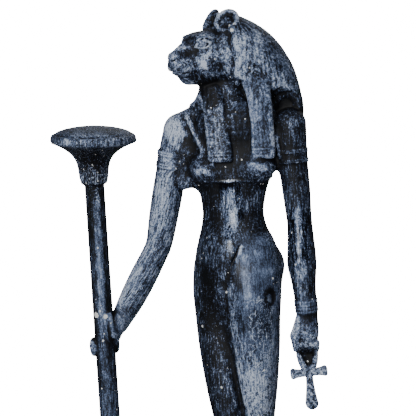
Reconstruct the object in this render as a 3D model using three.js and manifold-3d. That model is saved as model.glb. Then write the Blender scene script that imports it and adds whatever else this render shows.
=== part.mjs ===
// Statuette of a lioness-headed goddess: one solid casting of a standing woman who
// holds a papyrus sceptre out to her right and an ankh down at her left side.
// Millimetres, +Z up. She faces -Y, her own left is +X, and the origin is the middle
// of the plinth's underside.
import * as THREE from "three";
import { mergeVertices } from "three/addons/utils/BufferGeometryUtils.js";
import Module from "manifold-3d";

// The figure's height drives her body, head and hair, which keep her own proportions.
const FIGURE_HEIGHT = 293;

// Plinth: a low slab with rounded corners and eased edges.
const PLINTH_WIDTH = 94;
const PLINTH_DEPTH = 82;
const PLINTH_HEIGHT = 13;
const PLINTH_CORNER = 7;
const PLINTH_EDGE = 1.2;

// Where she and the sceptre stand on it, from the plinth's middle.
const FIGURE_X = 19;
const FIGURE_Y = 21;
const SCEPTRE_X = -31;
const SCEPTRE_Y = -26.2;

// Papyrus sceptre: a plain stalk under an open umbel with a low dome, which leans a little
// to her left and back.
const SCEPTRE_HEIGHT = 237.8;
const STALK_DIAMETER = 9.8;
const CALYX_DIAMETER = 14.6;
const UMBEL_DIAMETER = 43;
const UMBEL_HEIGHT = 20.5;
const UMBEL_RIM = 2.8;
const UMBEL_DOME = 5.2;
const UMBEL_TILT = 2.5;
const UMBEL_TILT_TOWARDS = 40;
const SCEPTRE_LEAN_X = -0.9;
const SCEPTRE_LEAN_Y = -0.8;

// Ankh: a flat bar cross whose ends widen and are rounded off, hung from a loop that the
// fist closes on. The mould left a thin web across the loop.
const ANKH_BAR_LENGTH = 18.8;
const ANKH_BAR_WIDTH = 3.6;
const ANKH_BAR_END = 5.2;
const ANKH_BAR_CORNER = 1.5;
const ANKH_FOOT_WIDTH = 6.6;
const ANKH_SHAFT_LENGTH = 19.2;
const ANKH_LOOP_LENGTH = 18;
const ANKH_LOOP_FOOT = 7;
const ANKH_LOOP_WIDTH = 12;
const ANKH_LOOP_BAR = 2.8;
const ANKH_THICKNESS = 4.4;
const ANKH_WEB = 1.8;
const ANKH_WEB_BITE = 0.8;
const ANKH_EDGE = 0.6;
const ANKH_ROLL = -3;
const ANKH_HANG = 18.6;

// How finely the free forms are worked out, how many flat faces they keep, and how many
// there are in a round corner of a plain form.
const CELLS_IN_HEIGHT = 180;
const FIGURE_FACES = 7500;
const CURVE_SEGMENTS = 5;

const PAINT = { color: 0x39424f, roughness: 0.62, metalness: 0.0 };

// Every measure of the free forms below is for a figure MODELLED_HEIGHT tall, with
// z = 0 under her soles and the x and y axes through her ankles.
const MODELLED_HEIGHT = 293;
const FIGURE_SCALE = FIGURE_HEIGHT / MODELLED_HEIGHT;

const radians = THREE.MathUtils.degToRad;
const lerp = THREE.MathUtils.lerp;
const { abs, max, min, sqrt, cos, sin, hypot } = Math;

// A form is a function of x, y, z that gives the distance to its surface, less than
// zero inside it. Forms are blended and cut before one surface is drawn round them.

const ball = ([cx, cy, cz], r) => (x, y, z) =>
  sqrt((x - cx) ** 2 + (y - cy) ** 2 + (z - cz) ** 2) - r;

const egg = ([cx, cy, cz], [rx, ry, rz]) => (x, y, z) => {
  const ex = (x - cx) / rx;
  const ey = (y - cy) / ry;
  const ez = (z - cz) / rz;
  const k = sqrt(ex * ex + ey * ey + ez * ez);
  const slope = sqrt((ex / rx) ** 2 + (ey / ry) ** 2 + (ez / rz) ** 2);
  return slope < 1e-9 ? -min(rx, ry, rz) : max((k * (k - 1)) / slope, -min(rx, ry, rz));
};

const slab = ([cx, cy, cz], [hx, hy, hz], round) => (x, y, z) => {
  const qx = abs(x - cx) - hx + round;
  const qy = abs(y - cy) - hy + round;
  const qz = abs(z - cz) - hz + round;
  const outside = sqrt(max(qx, 0) ** 2 + max(qy, 0) ** 2 + max(qz, 0) ** 2);
  return outside + min(max(qx, qy, qz), 0) - round;
};

// A limb from a to b whose round section goes from radius ra to rb.
const limb = (a, b, ra, rb) => {
  const bx = b[0] - a[0];
  const by = b[1] - a[1];
  const bz = b[2] - a[2];
  const length2 = bx * bx + by * by + bz * bz;
  const rr = ra - rb;
  const a2 = length2 - rr * rr;
  const il2 = 1 / length2;
  return (x, y, z) => {
    const px = x - a[0];
    const py = y - a[1];
    const pz = z - a[2];
    const along = px * bx + py * by + pz * bz;
    const beyond = along - length2;
    const vx = px * length2 - bx * along;
    const vy = py * length2 - by * along;
    const vz = pz * length2 - bz * along;
    const x2 = vx * vx + vy * vy + vz * vz;
    const y2 = along * along * length2;
    const z2 = beyond * beyond * length2;
    const k = Math.sign(rr) * rr * rr * x2;
    if (Math.sign(beyond) * a2 * z2 > k) return sqrt(x2 + z2) * il2 - rb;
    if (Math.sign(along) * a2 * y2 < k) return sqrt(x2 + y2) * il2 - ra;
    return (sqrt(x2 * a2 * il2) + along * rr) * il2 - ra;
  };
};

// The union of forms, with a fillet of about size k where they meet.
const blend = (k, ...forms) => (x, y, z) => {
  let d = forms[0](x, y, z);
  for (let i = 1; i < forms.length; i++) {
    const e = forms[i](x, y, z);
    const h = max(k - abs(d - e), 0) / k;
    d = min(d, e) - h * h * k * 0.25;
  }
  return d;
};

// A form less another, with a rounding of size k along the cut's edge.
const cut = (k, form, tool) => (x, y, z) => {
  const d = form(x, y, z);
  const e = -tool(x, y, z);
  const h = max(k - abs(d - e), 0) / k;
  return max(d, e) + h * h * k * 0.25;
};

// A limb through several points, each [x, y, z, radius].
const chain = (k, stops) =>
  blend(k, ...stops.slice(1).map((b, i) =>
    limb(stops[i].slice(0, 3), b.slice(0, 3), stops[i][3], b[3])));

// A limb along a smooth curve through such points, in short straight steps.
const STEPS_IN_SPAN = 4;
const tube = (stops) => {
  const row = smoothRow(stops.map((stop, i) => [i, ...stop]));
  const fine = [];
  for (let i = 0; i <= (stops.length - 1) * STEPS_IN_SPAN; i++) {
    fine.push([1, 2, 3, 4].map((j) => row(i / STEPS_IN_SPAN, j)));
  }
  return chain(0.1, fine);
};

// A form that was made facing -Y, turned by yaw degrees about Z and moved to x, y, z.
const placed = ([cx, cy, cz], yaw, form) => {
  const c = cos(radians(yaw));
  const s = sin(radians(yaw));
  return (x, y, z) =>
    form((x - cx) * c + (y - cy) * s, (y - cy) * c - (x - cx) * s, z - cz);
};

// A form tipped about its own X axis, so that what points up goes back.
const tipped = (angle, form) => {
  const c = cos(radians(angle));
  const s = sin(radians(angle));
  return (x, y, z) => form(x, y * c + z * -s, z * c + y * s);
};

// A form rolled about its own Y axis, so that what points up goes to +X.
const rolled = (angle, form) => {
  const c = cos(radians(angle));
  const s = sin(radians(angle));
  return (x, y, z) => form(x * c - z * s, y, z * c + x * s);
};

const mirrored = (form) => (x, y, z) => form(abs(x), y, z);

// The value at z of a smooth curve through knots [z, value...], rising in z.
const smoothRow = (knots) => {
  const slopes = knots.map((knot, i) => {
    const before = knots[max(i - 1, 0)];
    const after = knots[min(i + 1, knots.length - 1)];
    return knot.map((v, j) => (after[j] - before[j]) / (after[0] - before[0]));
  });
  return (z, j) => {
    let i = 0;
    while (i < knots.length - 2 && z > knots[i + 1][0]) i++;
    const a = knots[i];
    const b = knots[i + 1];
    const span = b[0] - a[0];
    const t = min(max((z - a[0]) / span, 0), 1);
    const t2 = t * t;
    const t3 = t2 * t;
    return (2 * t3 - 3 * t2 + 1) * a[j] + (t3 - 2 * t2 + t) * span * slopes[i][j]
      + (3 * t2 - 2 * t3) * b[j] + (t3 - t2) * span * slopes[i + 1][j];
  };
};

// An upright body with an oval section at each height. Each knot is
// [z, middle x, middle y, yaw, half width, front depth, back depth].
const column = (knots, round) => {
  const row = smoothRow(knots);
  const low = knots[0][0];
  const high = knots[knots.length - 1][0];
  return (x, y, z) => {
    const at = min(max(z, low), high);
    const yaw = radians(row(at, 3));
    const px = x - row(at, 1);
    const py = y - row(at, 2);
    const side = px * cos(yaw) + py * sin(yaw);
    const back = py * cos(yaw) - px * sin(yaw);
    const rx = row(at, 4);
    const ry = back < 0 ? row(at, 5) : row(at, 6);
    const k = hypot(side / rx, back / ry);
    const slope = hypot(side / rx / rx, back / ry / ry);
    const level = slope < 1e-9 ? -min(rx, ry) : max((k * (k - 1)) / slope, -min(rx, ry));
    const end = max(low - z, z - high) + round;
    const over = level + round;
    return hypot(max(end, 0), max(over, 0)) + min(max(end, over), 0) - round;
  };
};

// A flat strip, such as a lock of the wig, that hangs along a curve. Each knot is
// [z, middle x, middle y, yaw, half width, half thickness].
const strip = (knots, round) => {
  const row = smoothRow(knots);
  const low = knots[0][0];
  const high = knots[knots.length - 1][0];
  return (x, y, z) => {
    const at = min(max(z, low), high);
    const yaw = radians(row(at, 3));
    const px = x - row(at, 1);
    const py = y - row(at, 2);
    const qx = abs(px * cos(yaw) + py * sin(yaw)) - row(at, 4) + round;
    const qy = abs(py * cos(yaw) - px * sin(yaw)) - row(at, 5) + round;
    const qz = max(low - z, z - high) + round;
    return hypot(max(qx, 0), max(qy, 0), max(qz, 0)) + min(max(qx, qy, qz), 0) - round;
  };
};

// A raised ring round a limb between two points, of the given radius and reach.
const band = (a, b, radius) => {
  const length = hypot(b[0] - a[0], b[1] - a[1], b[2] - a[2]);
  const n = [0, 1, 2].map((i) => (b[i] - a[i]) / length);
  return (x, y, z) => {
    const along = (x - a[0]) * n[0] + (y - a[1]) * n[1] + (z - a[2]) * n[2];
    const px = x - a[0] - along * n[0];
    const py = y - a[1] - along * n[1];
    const pz = z - a[2] - along * n[2];
    const q = sqrt(px * px + py * py + pz * pz) - radius + 0.4;
    const e = abs(along - length / 2) - length / 2 + 0.4;
    return hypot(max(q, 0), max(e, 0)) + min(max(q, e), 0) - 0.4;
  };
};

// Her pose. The hips face the front, the chest turns to her left and the head to her right.
const CHEST_YAW = 26;
const HEAD_YAW = -22;
const CHEST_MIDDLE = [1.1, 1.0];
const HEAD_MIDDLE = [-2.8, -2.4];

// Trunk, from the crotch to the root of the neck.
const trunk = column([
  [126, 0, -1.9, 0, 16.0, 10.4, 10.0],
  [138, 0, -1.7, 0, 19.0, 12.6, 12.0],
  [150, 0, -1.4, 0, 22.8, 15.6, 14.4],
  [160, 0, -0.4, 0, 24.2, 17.6, 16.0],
  [169, 0, -0.2, 2, 23.2, 16.8, 15.2],
  [177, 0, -0.2, 6, 20.6, 15.0, 12.5],
  [183, -0.6, -0.5, 9, 17.7, 14.0, 11.0],
  [190, -0.8, -0.7, 13, 16.1, 12.5, 10.5],
  [197, -0.7, -0.5, 18, 16.6, 12.5, 11.0],
  [204, -0.5, -0.1, 22, 18.0, 12.8, 11.6],
  [212, 0.2, 0.5, 25, 20.6, 13.4, 12.2],
  [223, 1.0, 0.9, 26, 23.4, 12.6, 13.0],
  [231, 1.1, 1.0, 26, 24.6, 11.0, 12.4],
  [238, 1.6, 1.6, 26, 19.0, 9.5, 11.2],
  [245, 1.6, 1.6, 24, 11.5, 9.0, 9.6],
], 2);
const buttocks = mirrored(egg([8.8, 8.2, 162.5], [11.3, 10.8, 10.6]));
const belly = egg([0, -8.5, 172], [12, 9.5, 12]);

// Legs close together under a tight dress, with the knees and calves just showing. Each
// leg's middle is given from the ankle up. The right one is a short step ahead of the left.
const leg = (middles) => {
  const sizes = [
    [3, 5.0, 4.8, 5.0],
    [14, 4.9, 4.8, 5.2],
    [22, 5.4, 5.0, 6.0],
    [36, 7.0, 6.4, 8.4],
    [58, 8.6, 7.8, 9.8],
    [74, 8.8, 8.8, 8.4],
    [84, 9.4, 9.8, 9.0],
    [102, 11.2, 11.8, 11.6],
    [120, 12.4, 12.9, 13.0],
    [134, 12.8, 13.3, 13.4],
    [150, 12.8, 13.4, 13.6],
    [164, 10.0, 11.0, 11.0],
  ];
  return column(sizes.map(([z, ...size], i) => [z, ...middles[i], 0, ...size]), 2);
};
const leftLeg = leg([
  [7.4, 1.6], [7.2, 2.2], [7.0, 2.0], [7.2, 1.8], [7.4, 1.4], [7.6, -0.6],
  [7.8, -1.0], [8.8, -1.7], [9.9, -2.2], [10.6, -2.4], [11.2, -2.2], [11.2, -1.4],
]);
const rightLeg = leg([
  [-5.8, -4.6], [-5.2, -4.4], [-4.2, -4.6], [-3.2, -5.2], [-2.2, -6.0], [-1.6, -7.9],
  [-1.7, -8.3], [-3.8, -7.7], [-6.8, -5.9], [-9.1, -4.2], [-11.0, -2.4], [-11.2, -1.4],
]);
// The dress itself, which fills the hollow between them down to the hem at the ankles.
const dress = column([
  [17, 1.0, -1.4, 0, 13.0, 9.4, 9.4],
  [28, 1.3, -1.5, 0, 13.0, 8.6, 9.2],
  [44, 1.8, -1.7, 0, 11.6, 6.6, 8.2],
  [58, 2.2, -1.9, 0, 10.2, 5.6, 7.2],
  [84, 2.5, -4.0, 0, 10.4, 5.6, 7.0],
  [102, 2.2, -4.3, 0, 11.4, 7.6, 8.6],
  [130, 1.0, -3.4, 0, 13.0, 9.8, 10.0],
  [150, 0.2, -2.1, 0, 15.0, 13.4, 12.6],
  [170, 0, -1.0, 0, 15.0, 14.6, 12.6],
], 2);

// A bare foot: heel, arch and ball, with five toes along the front.
const foot = (side, heelX, forward) => {
  const x0 = heelX + side * 0.8;
  const heel = limb([heelX, 4.6 - forward, 5], [x0, -11 - forward, 3.4], 5.6, 4.6);
  const sole = slab([x0, -7 - forward, 0], [6.2, 15.6, 3.2], 3);
  const toes = [0, 1, 2, 3, 4].map((i) => {
    const x = x0 + side * (i * 2.25 - 4.4);
    const reach = 25.5 - i * 1.6 + forward;
    return limb([x, 8 - reach, 2.6], [x, 1.6 - reach, 1.5], 2.0 - i * 0.12, 1.75 - i * 0.12);
  });
  return blend(1.6, blend(3, heel, sole), ...toes);
};
const feet = blend(1, foot(1, 7.4, 0), foot(-1, -5.8, 6.4));
// The crease where the two thighs press together under the cloth.
const crease = chain(2, [
  [10.2, -17.2, 168, 1.0],
  [6.4, -18.6, 156, 1.3],
  [5.2, -17.3, 138, 1.5],
  [5.6, -15.2, 118, 1.6],
  [8.2, -12.0, 92, 1.6],
  [6.8, -9.6, 60, 1.4],
]);
const lower = blend(3, blend(1.2, leftLeg, rightLeg), dress);

// Breasts under the straps of the dress.
const breasts = placed([...CHEST_MIDDLE, 0], CHEST_YAW,
  mirrored(egg([12.9, -9.0, 213.6], [7.6, 6.4, 6.2])));

// Her left arm hangs straight at her side.
const leftArm = tube([
  [26.6, 13.5, 234, 8.0],
  [27.4, 13.4, 217, 7.3],
  [28.8, 13.2, 202, 7.0],
  [29.8, 13.0, 190, 6.4],
  [30.5, 12.8, 182, 6.3],
  [31.2, 12.3, 166, 7.2],
  [31.6, 12.5, 153, 5.9],
  [32.5, 13.0, 141, 5.7],
]);

// Her right arm reaches down and forward to the sceptre. The casting fills the armpit, and
// the slope of the shoulder runs up to the neck.
const rightArm = blend(3, tube([
  [-24.7, -11.5, 231.4, 8.0],
  [-27.4, -13.7, 221, 7.2],
  [-29.1, -14.6, 211, 7.4],
  [-31.0, -15.4, 201, 7.7],
  [-33.6, -16.8, 188, 7.4],
  [-36.2, -18.2, 175, 6.7],
  [-37.8, -21.6, 168, 6.6],
  [-39.6, -27.8, 159, 6.9],
  [-42.2, -34.4, 148.5, 6.5],
  [-46.0, -41.4, 136.5, 5.0],
]),
limb([-20.5, -10.6, 222], [-21.5, -12.8, 206.8], 6.4, 3.4),
limb([-21.5, -12.8, 206.8], [-12, -8, 207.4], 3.4, 4),
limb([-25, -11.4, 234.6], [-12, -5, 243.2], 5.6, 4.0));

// Armlets on both upper arms and a bracelet on the left wrist.
const armlets = blend(0.2,
  band([27.3, 13.3, 222], [27.6, 13.2, 215.4], 7.5),
  band([-27.5, -13.7, 222], [-28.7, -14.4, 214], 7.5),
  band([31.9, 12.7, 149.5], [32.4, 12.9, 142.5], 5.8));

// The left fist, closed on the ankh's loop: the back of the hand faces outwards, the
// thumb lies along the front and four fingers curl in under it.
const LEFT_FIST = [31.6, 12.0, 127];
const HAND_YAW = 42;
const leftHand = placed(LEFT_FIST, HAND_YAW, blend(2,
  egg([0.8, -0.6, 3.4], [5.9, 4.6, 10.4]),
  chain(1, [[-1.6, -0.8, 9.5, 3.2], [-5.1, -1.6, 1.0, 2.8], [-5.0, -2.0, -5.4, 2.0]]),
  ...[0, 1, 2, 3].map((i) => {
    const x = -2.7 + i * 2.45;
    return chain(1, [
      [x, -2.4, -3.2, 2.2], [x, -0.4, -6.2, 2.0], [x, 3.2, -5.4, 1.9], [x, 4.0, -1.0, 1.8],
    ]);
  })));

// The right hand: the palm along the stalk, four fingers round its far side, and the thumb
// laid up against it.
const gripAt = (z) => {
  const t = (z * FIGURE_SCALE) / SCEPTRE_HEIGHT;
  return [
    (SCEPTRE_X + SCEPTRE_LEAN_X * t - FIGURE_X) / FIGURE_SCALE,
    (SCEPTRE_Y + SCEPTRE_LEAN_Y * t - FIGURE_Y) / FIGURE_SCALE,
    z,
  ];
};
const GRIP = STALK_DIAMETER / 2 / FIGURE_SCALE;
const fingerRound = (z, radius, from, to) => {
  const stops = [];
  for (let i = 0; i <= 6; i++) {
    const angle = radians(lerp(from, to, i / 6));
    const [gx, gy] = gripAt(z);
    const reach = GRIP + radius * 0.55;
    stops.push([gx + reach * cos(angle), gy + reach * sin(angle), z, radius]);
  }
  return chain(0.6, stops);
};
const palm = gripAt(132.6);
const rightHand = blend(1.4,
  limb([palm[0] + 5.2, palm[1] + 5.6, 139], [palm[0] + 1.8, palm[1] + 2.4, 126.5], 4.6, 3.4),
  ...[0, 1, 2, 3].map((i) => fingerRound(122.8 + i * 1.9, 2.1 - abs(i - 1.5) * 0.3, 70, 236)),
  limb([palm[0] + 5.4, palm[1] + 0.8, 132], [palm[0] + 4.4, palm[1] - 0.6, 143.4], 1.9, 1.5));

// Neck and head. The head's parts are given in its own frame, facing -Y.
const neck = limb([1.4, 1.2, 236], [-1.6, -1.2, 262], 10, 9);
const skull = blend(4,
  egg([0, -1, 270.5], [12.0, 15.0, 13.2]),
  mirrored(egg([4.4, -11.8, 277.3], [4.8, 5.6, 4.0])),
  limb([0, -9, 268.3], [0, -21.8, 265.9], 9.0, 5.5),
  mirrored(egg([7.0, -7.5, 264.6], [6.2, 8.4, 8.6])));
const bridge = limb([0, -14.5, 276.4], [0, -25.2, 269.9], 3.9, 3.0);
const nose = blend(1.2,
  slab([0, -25.9, 269.8], [3.1, 2.0, 2.3], 1.4),
  mirrored(ball([2.1, -26.1, 268.5], 1.5)));
const pads = mirrored(egg([3.4, -22.6, 265.4], [4.0, 5.0, 3.9]));
const jaw = blend(2.4,
  limb([0, -4, 262.2], [0, -17.2, 261.0], 8.0, 4.8),
  ball([0, -19.2, 260.7], 3.8));
const mouth = chain(0.6, [
  [0, -28.6, 264.0, 0.7], [4.4, -25.4, 262.9, 0.8], [7.4, -19.0, 262.2, 0.8], [9.4, -13.8, 263.2, 0.7],
]);
const eye = egg([8.3, -13.6, 275.6], [1.7, 2.9, 1.5]);
const socket = egg([9.2, -14.6, 275.0], [2.2, 3.9, 2.2]);
const ear = (side, out, wide) => placed([side * out, -0.1, 286.1], side * 48,
  tipped(25, rolled(side * 36, cut(0.8,
    egg([0, 0, 0], [wide, 3.1, 6.9]),
    egg([0, -3.0, 0.3], [wide * 0.7, 3.4, 4.9])))));
const face = blend(0.8,
  cut(0.8,
    cut(0.8, blend(2, blend(2.4, skull, bridge, jaw), nose, pads), mirrored(mouth)),
    mirrored(socket)),
  mirrored(eye));
const head = placed([...HEAD_MIDDLE, 0], HEAD_YAW, face);
const headEars = placed([...HEAD_MIDDLE, 0], HEAD_YAW, blend(0.5, ear(1, 8.6, 6.1), ear(-1, 7.8, 4.5)));

// The wig: a hood that swings from the head's turn at the crown to the chest's below.
// Its yaw is the direction of its long axis, which points back at the crown.
const hood = column([
  [230, 4.4, 7.4, 26, 25.0, 9.5, 10.6],
  [237, 4.8, 7.4, 26, 28.2, 12.4, 12.8],
  [244, 4.5, 6.9, 26, 29.0, 14.4, 14.4],
  [250, 4.2, 6.1, 28, 28.6, 15.3, 15.0],
  [256, 4.4, 5.6, 32, 27.2, 15.7, 15.6],
  [262, 4.4, 4.8, 37, 25.7, 15.9, 15.9],
  [268, 4.3, 3.6, 44, 23.6, 15.8, 15.8],
  [274, 3.4, 2.8, 52, 21.2, 15.0, 15.0],
  [280, 1.9, 1.5, 60, 17.9, 13.4, 13.4],
  [284.8, 0.1, 0.1, 66, 13.6, 11.3, 11.3],
  [288, -1.2, -1.1, 68, 9.2, 8.7, 8.7],
  [290.3, -1.5, -1.3, 68, 5.6, 5.6, 5.6],
], 3.5);
// What is cut from the hood: the room for the face, the hollow at the throat, the hollow
// over the left shoulder, and the side that the turned head draws away from the right one.
const faceRoom = placed([...HEAD_MIDDLE, 0], HEAD_YAW, slab([0, -31, 281], [30, 30.2, 24], 3));
const throatRoom = placed([...CHEST_MIDDLE, 0], CHEST_YAW, blend(3,
  egg([-1, -20, 247], [19, 17, 14]),
  egg([29, -14, 243.5], [12.5, 15, 11.5]),
  egg([-27, 0, 258], [13, 26, 13.5])));
const wig = cut(1.6, cut(1.6, hood, faceRoom), throatRoom);
// A rolled border where the hair meets the face.
const border = placed([...HEAD_MIDDLE, 0], HEAD_YAW, mirrored(chain(2, [
  [12.8, 1.6, 256, 2.2], [13.6, 1.0, 266, 2.2], [12.8, 0.8, 276, 2.1], [10.0, 1.2, 283, 1.9],
])));

// The two front locks of the wig, which hang over the collar to the breasts.
const locks = placed([...CHEST_MIDDLE, 0], CHEST_YAW, blend(1,
  strip([
    [218.4, 16.4, -10.8, 6, 5.9, 2.4],
    [224, 16.6, -10.6, 6, 5.9, 2.5],
    [233, 16.4, -10.4, 6, 5.8, 2.6],
    [241, 15.8, -10.6, 4, 5.8, 2.8],
    [249, 14.2, -10.6, 2, 6.0, 3.2],
    [257, 11.0, -10.2, 0, 6.6, 3.6],
    [265, 8.6, -9.6, 0, 6.6, 3.6],
    [272, 7.6, -8.4, 0, 5.6, 3.0],
  ], 1.8),
  strip([
    [217.4, -4.6, -13.4, -2, 6.2, 2.4],
    [224, -4.9, -13.2, -2, 6.2, 2.5],
    [233, -5.7, -12.2, -4, 6.1, 2.6],
    [241, -6.6, -11.4, -6, 5.8, 2.8],
    [249, -7.6, -9.6, -10, 5.2, 3.0],
    [256, -8.8, -7.4, -14, 4.6, 3.0],
  ], 1.8)));

// The broad collar between the locks.
const collar = placed([...CHEST_MIDDLE, 0], CHEST_YAW, egg([0, -2.5, 236], [17, 11.6, 12]));

const figure = blend(1.0,
  blend(3.5,
    cut(2.6, blend(5, blend(6, trunk, buttocks, belly), lower), crease),
    breasts,
    blend(4, neck, leftArm, rightArm)),
  feet,
  armlets,
  leftHand,
  rightHand,
  collar,
  blend(1.2, blend(0.8, wig, border), blend(0.6, head, headEars)),
  locks);

// A closed surface round a form, by walking a grid of small tetrahedra near it.
function surfaceOf(form, [lowX, lowY, lowZ], [highX, highY, highZ], step) {
  const nx = Math.ceil((highX - lowX) / step) + 1;
  const ny = Math.ceil((highY - lowY) / step) + 1;
  const nz = Math.ceil((highZ - lowZ) / step) + 1;
  const values = new Map();
  const value = (i, j, k) => {
    const key = i + nx * (j + ny * k);
    let v = values.get(key);
    if (v === undefined) {
      v = form(lowX + i * step, lowY + j * step, lowZ + k * step) / step;
      if (abs(v) < 1e-3) v = v < 0 ? -1e-3 : 1e-3;
      values.set(key, v);
    }
    return v;
  };
  const positions = [];
  const triangles = [];
  const crossings = new Map();
  // The six tetrahedra of a cell share the diagonal from corner 0 to corner 7.
  const paths = [[1, 3], [3, 2], [2, 6], [6, 4], [4, 5], [5, 1]];
  const total = nx * ny * nz;
  const crossing = (a, b) => {
    const [first, last] = a.id < b.id ? [a, b] : [b, a];
    const key = first.id * total + last.id;
    let at = crossings.get(key);
    if (at === undefined) {
      const t = first.v / (first.v - last.v);
      at = positions.length / 3;
      positions.push(
        lowX + lerp(first.i, last.i, t) * step,
        lowY + lerp(first.j, last.j, t) * step,
        lowZ + lerp(first.k, last.k, t) * step);
      crossings.set(key, at);
    }
    return at;
  };
  const facing = (a, b, c, ins, out) => {
    const p = (n, axis) => positions[n * 3 + axis];
    const u = [0, 1, 2].map((axis) => p(b, axis) - p(a, axis));
    const v = [0, 1, 2].map((axis) => p(c, axis) - p(a, axis));
    const away = [out.i - ins.i, out.j - ins.j, out.k - ins.k];
    const n = [u[1] * v[2] - u[2] * v[1], u[2] * v[0] - u[0] * v[2], u[0] * v[1] - u[1] * v[0]];
    return n[0] * away[0] + n[1] * away[1] + n[2] * away[2] >= 0 ? [a, b, c] : [a, c, b];
  };
  const cell = (i, j, k) => {
    const corners = [];
    let below = 0;
    for (let n = 0; n < 8; n++) {
      const ci = i + (n & 1);
      const cj = j + ((n >> 1) & 1);
      const ck = k + (n >> 2);
      const v = value(ci, cj, ck);
      if (v < 0) below++;
      corners.push({ i: ci, j: cj, k: ck, v, id: ci + nx * (cj + ny * ck) });
    }
    if (below === 0 || below === 8) return;
    for (const [m, n] of paths) {
      const tetra = [corners[0], corners[m], corners[n], corners[7]];
      const inside = tetra.filter((c) => c.v < 0);
      const outside = tetra.filter((c) => c.v >= 0);
      if (inside.length === 0 || outside.length === 0) continue;
      if (inside.length === 1 || outside.length === 1) {
        const lone = inside.length === 1 ? inside[0] : outside[0];
        const rest = inside.length === 1 ? outside : inside;
        const [a, b, c] = rest.map((r) => crossing(lone, r));
        triangles.push(...orient(a, b, c, inside, outside));
      } else {
        const a = crossing(inside[0], outside[0]);
        const b = crossing(inside[0], outside[1]);
        const c = crossing(inside[1], outside[1]);
        const d = crossing(inside[1], outside[0]);
        triangles.push(...orient(a, b, c, inside, outside));
        triangles.push(...orient(a, c, d, inside, outside));
      }
    }
  };
  // Turns a triangle so that it faces from the inner corners to the outer ones.
  const middle = (list) => ({
    i: list.reduce((s, c) => s + c.i, 0) / list.length,
    j: list.reduce((s, c) => s + c.j, 0) / list.length,
    k: list.reduce((s, c) => s + c.k, 0) / list.length,
  });
  const orient = (a, b, c, inside, outside) =>
    facing(a, b, c, middle(inside), middle(outside));
  // Blocks far from the surface are passed over, from large ones to small.
  const block = (i, j, k, size) => {
    if (i >= nx - 1 || j >= ny - 1 || k >= nz - 1) return;
    const half = size / 2;
    const d = form(lowX + (i + half) * step, lowY + (j + half) * step, lowZ + (k + half) * step);
    if (abs(d) > size * step * 2.6) return;
    if (size <= 2) {
      for (let n = 0; n < 8; n++) {
        const ci = i + (n & 1);
        const cj = j + ((n >> 1) & 1);
        const ck = k + (n >> 2);
        if (ci < nx - 1 && cj < ny - 1 && ck < nz - 1) cell(ci, cj, ck);
      }
      return;
    }
    for (let n = 0; n < 8; n++) {
      block(i + (n & 1) * half, j + ((n >> 1) & 1) * half, k + (n >> 2) * half, half);
    }
  };
  const start = 16;
  for (let i = 0; i < nx; i += start) {
    for (let j = 0; j < ny; j += start) {
      for (let k = 0; k < nz; k += start) block(i, j, k, start);
    }
  }
  return { positions, triangles };
}

// A face thinner than this, as its doubled area over the sum of its squared sides, is a sliver.
const SLIVER = 0.04;

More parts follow.
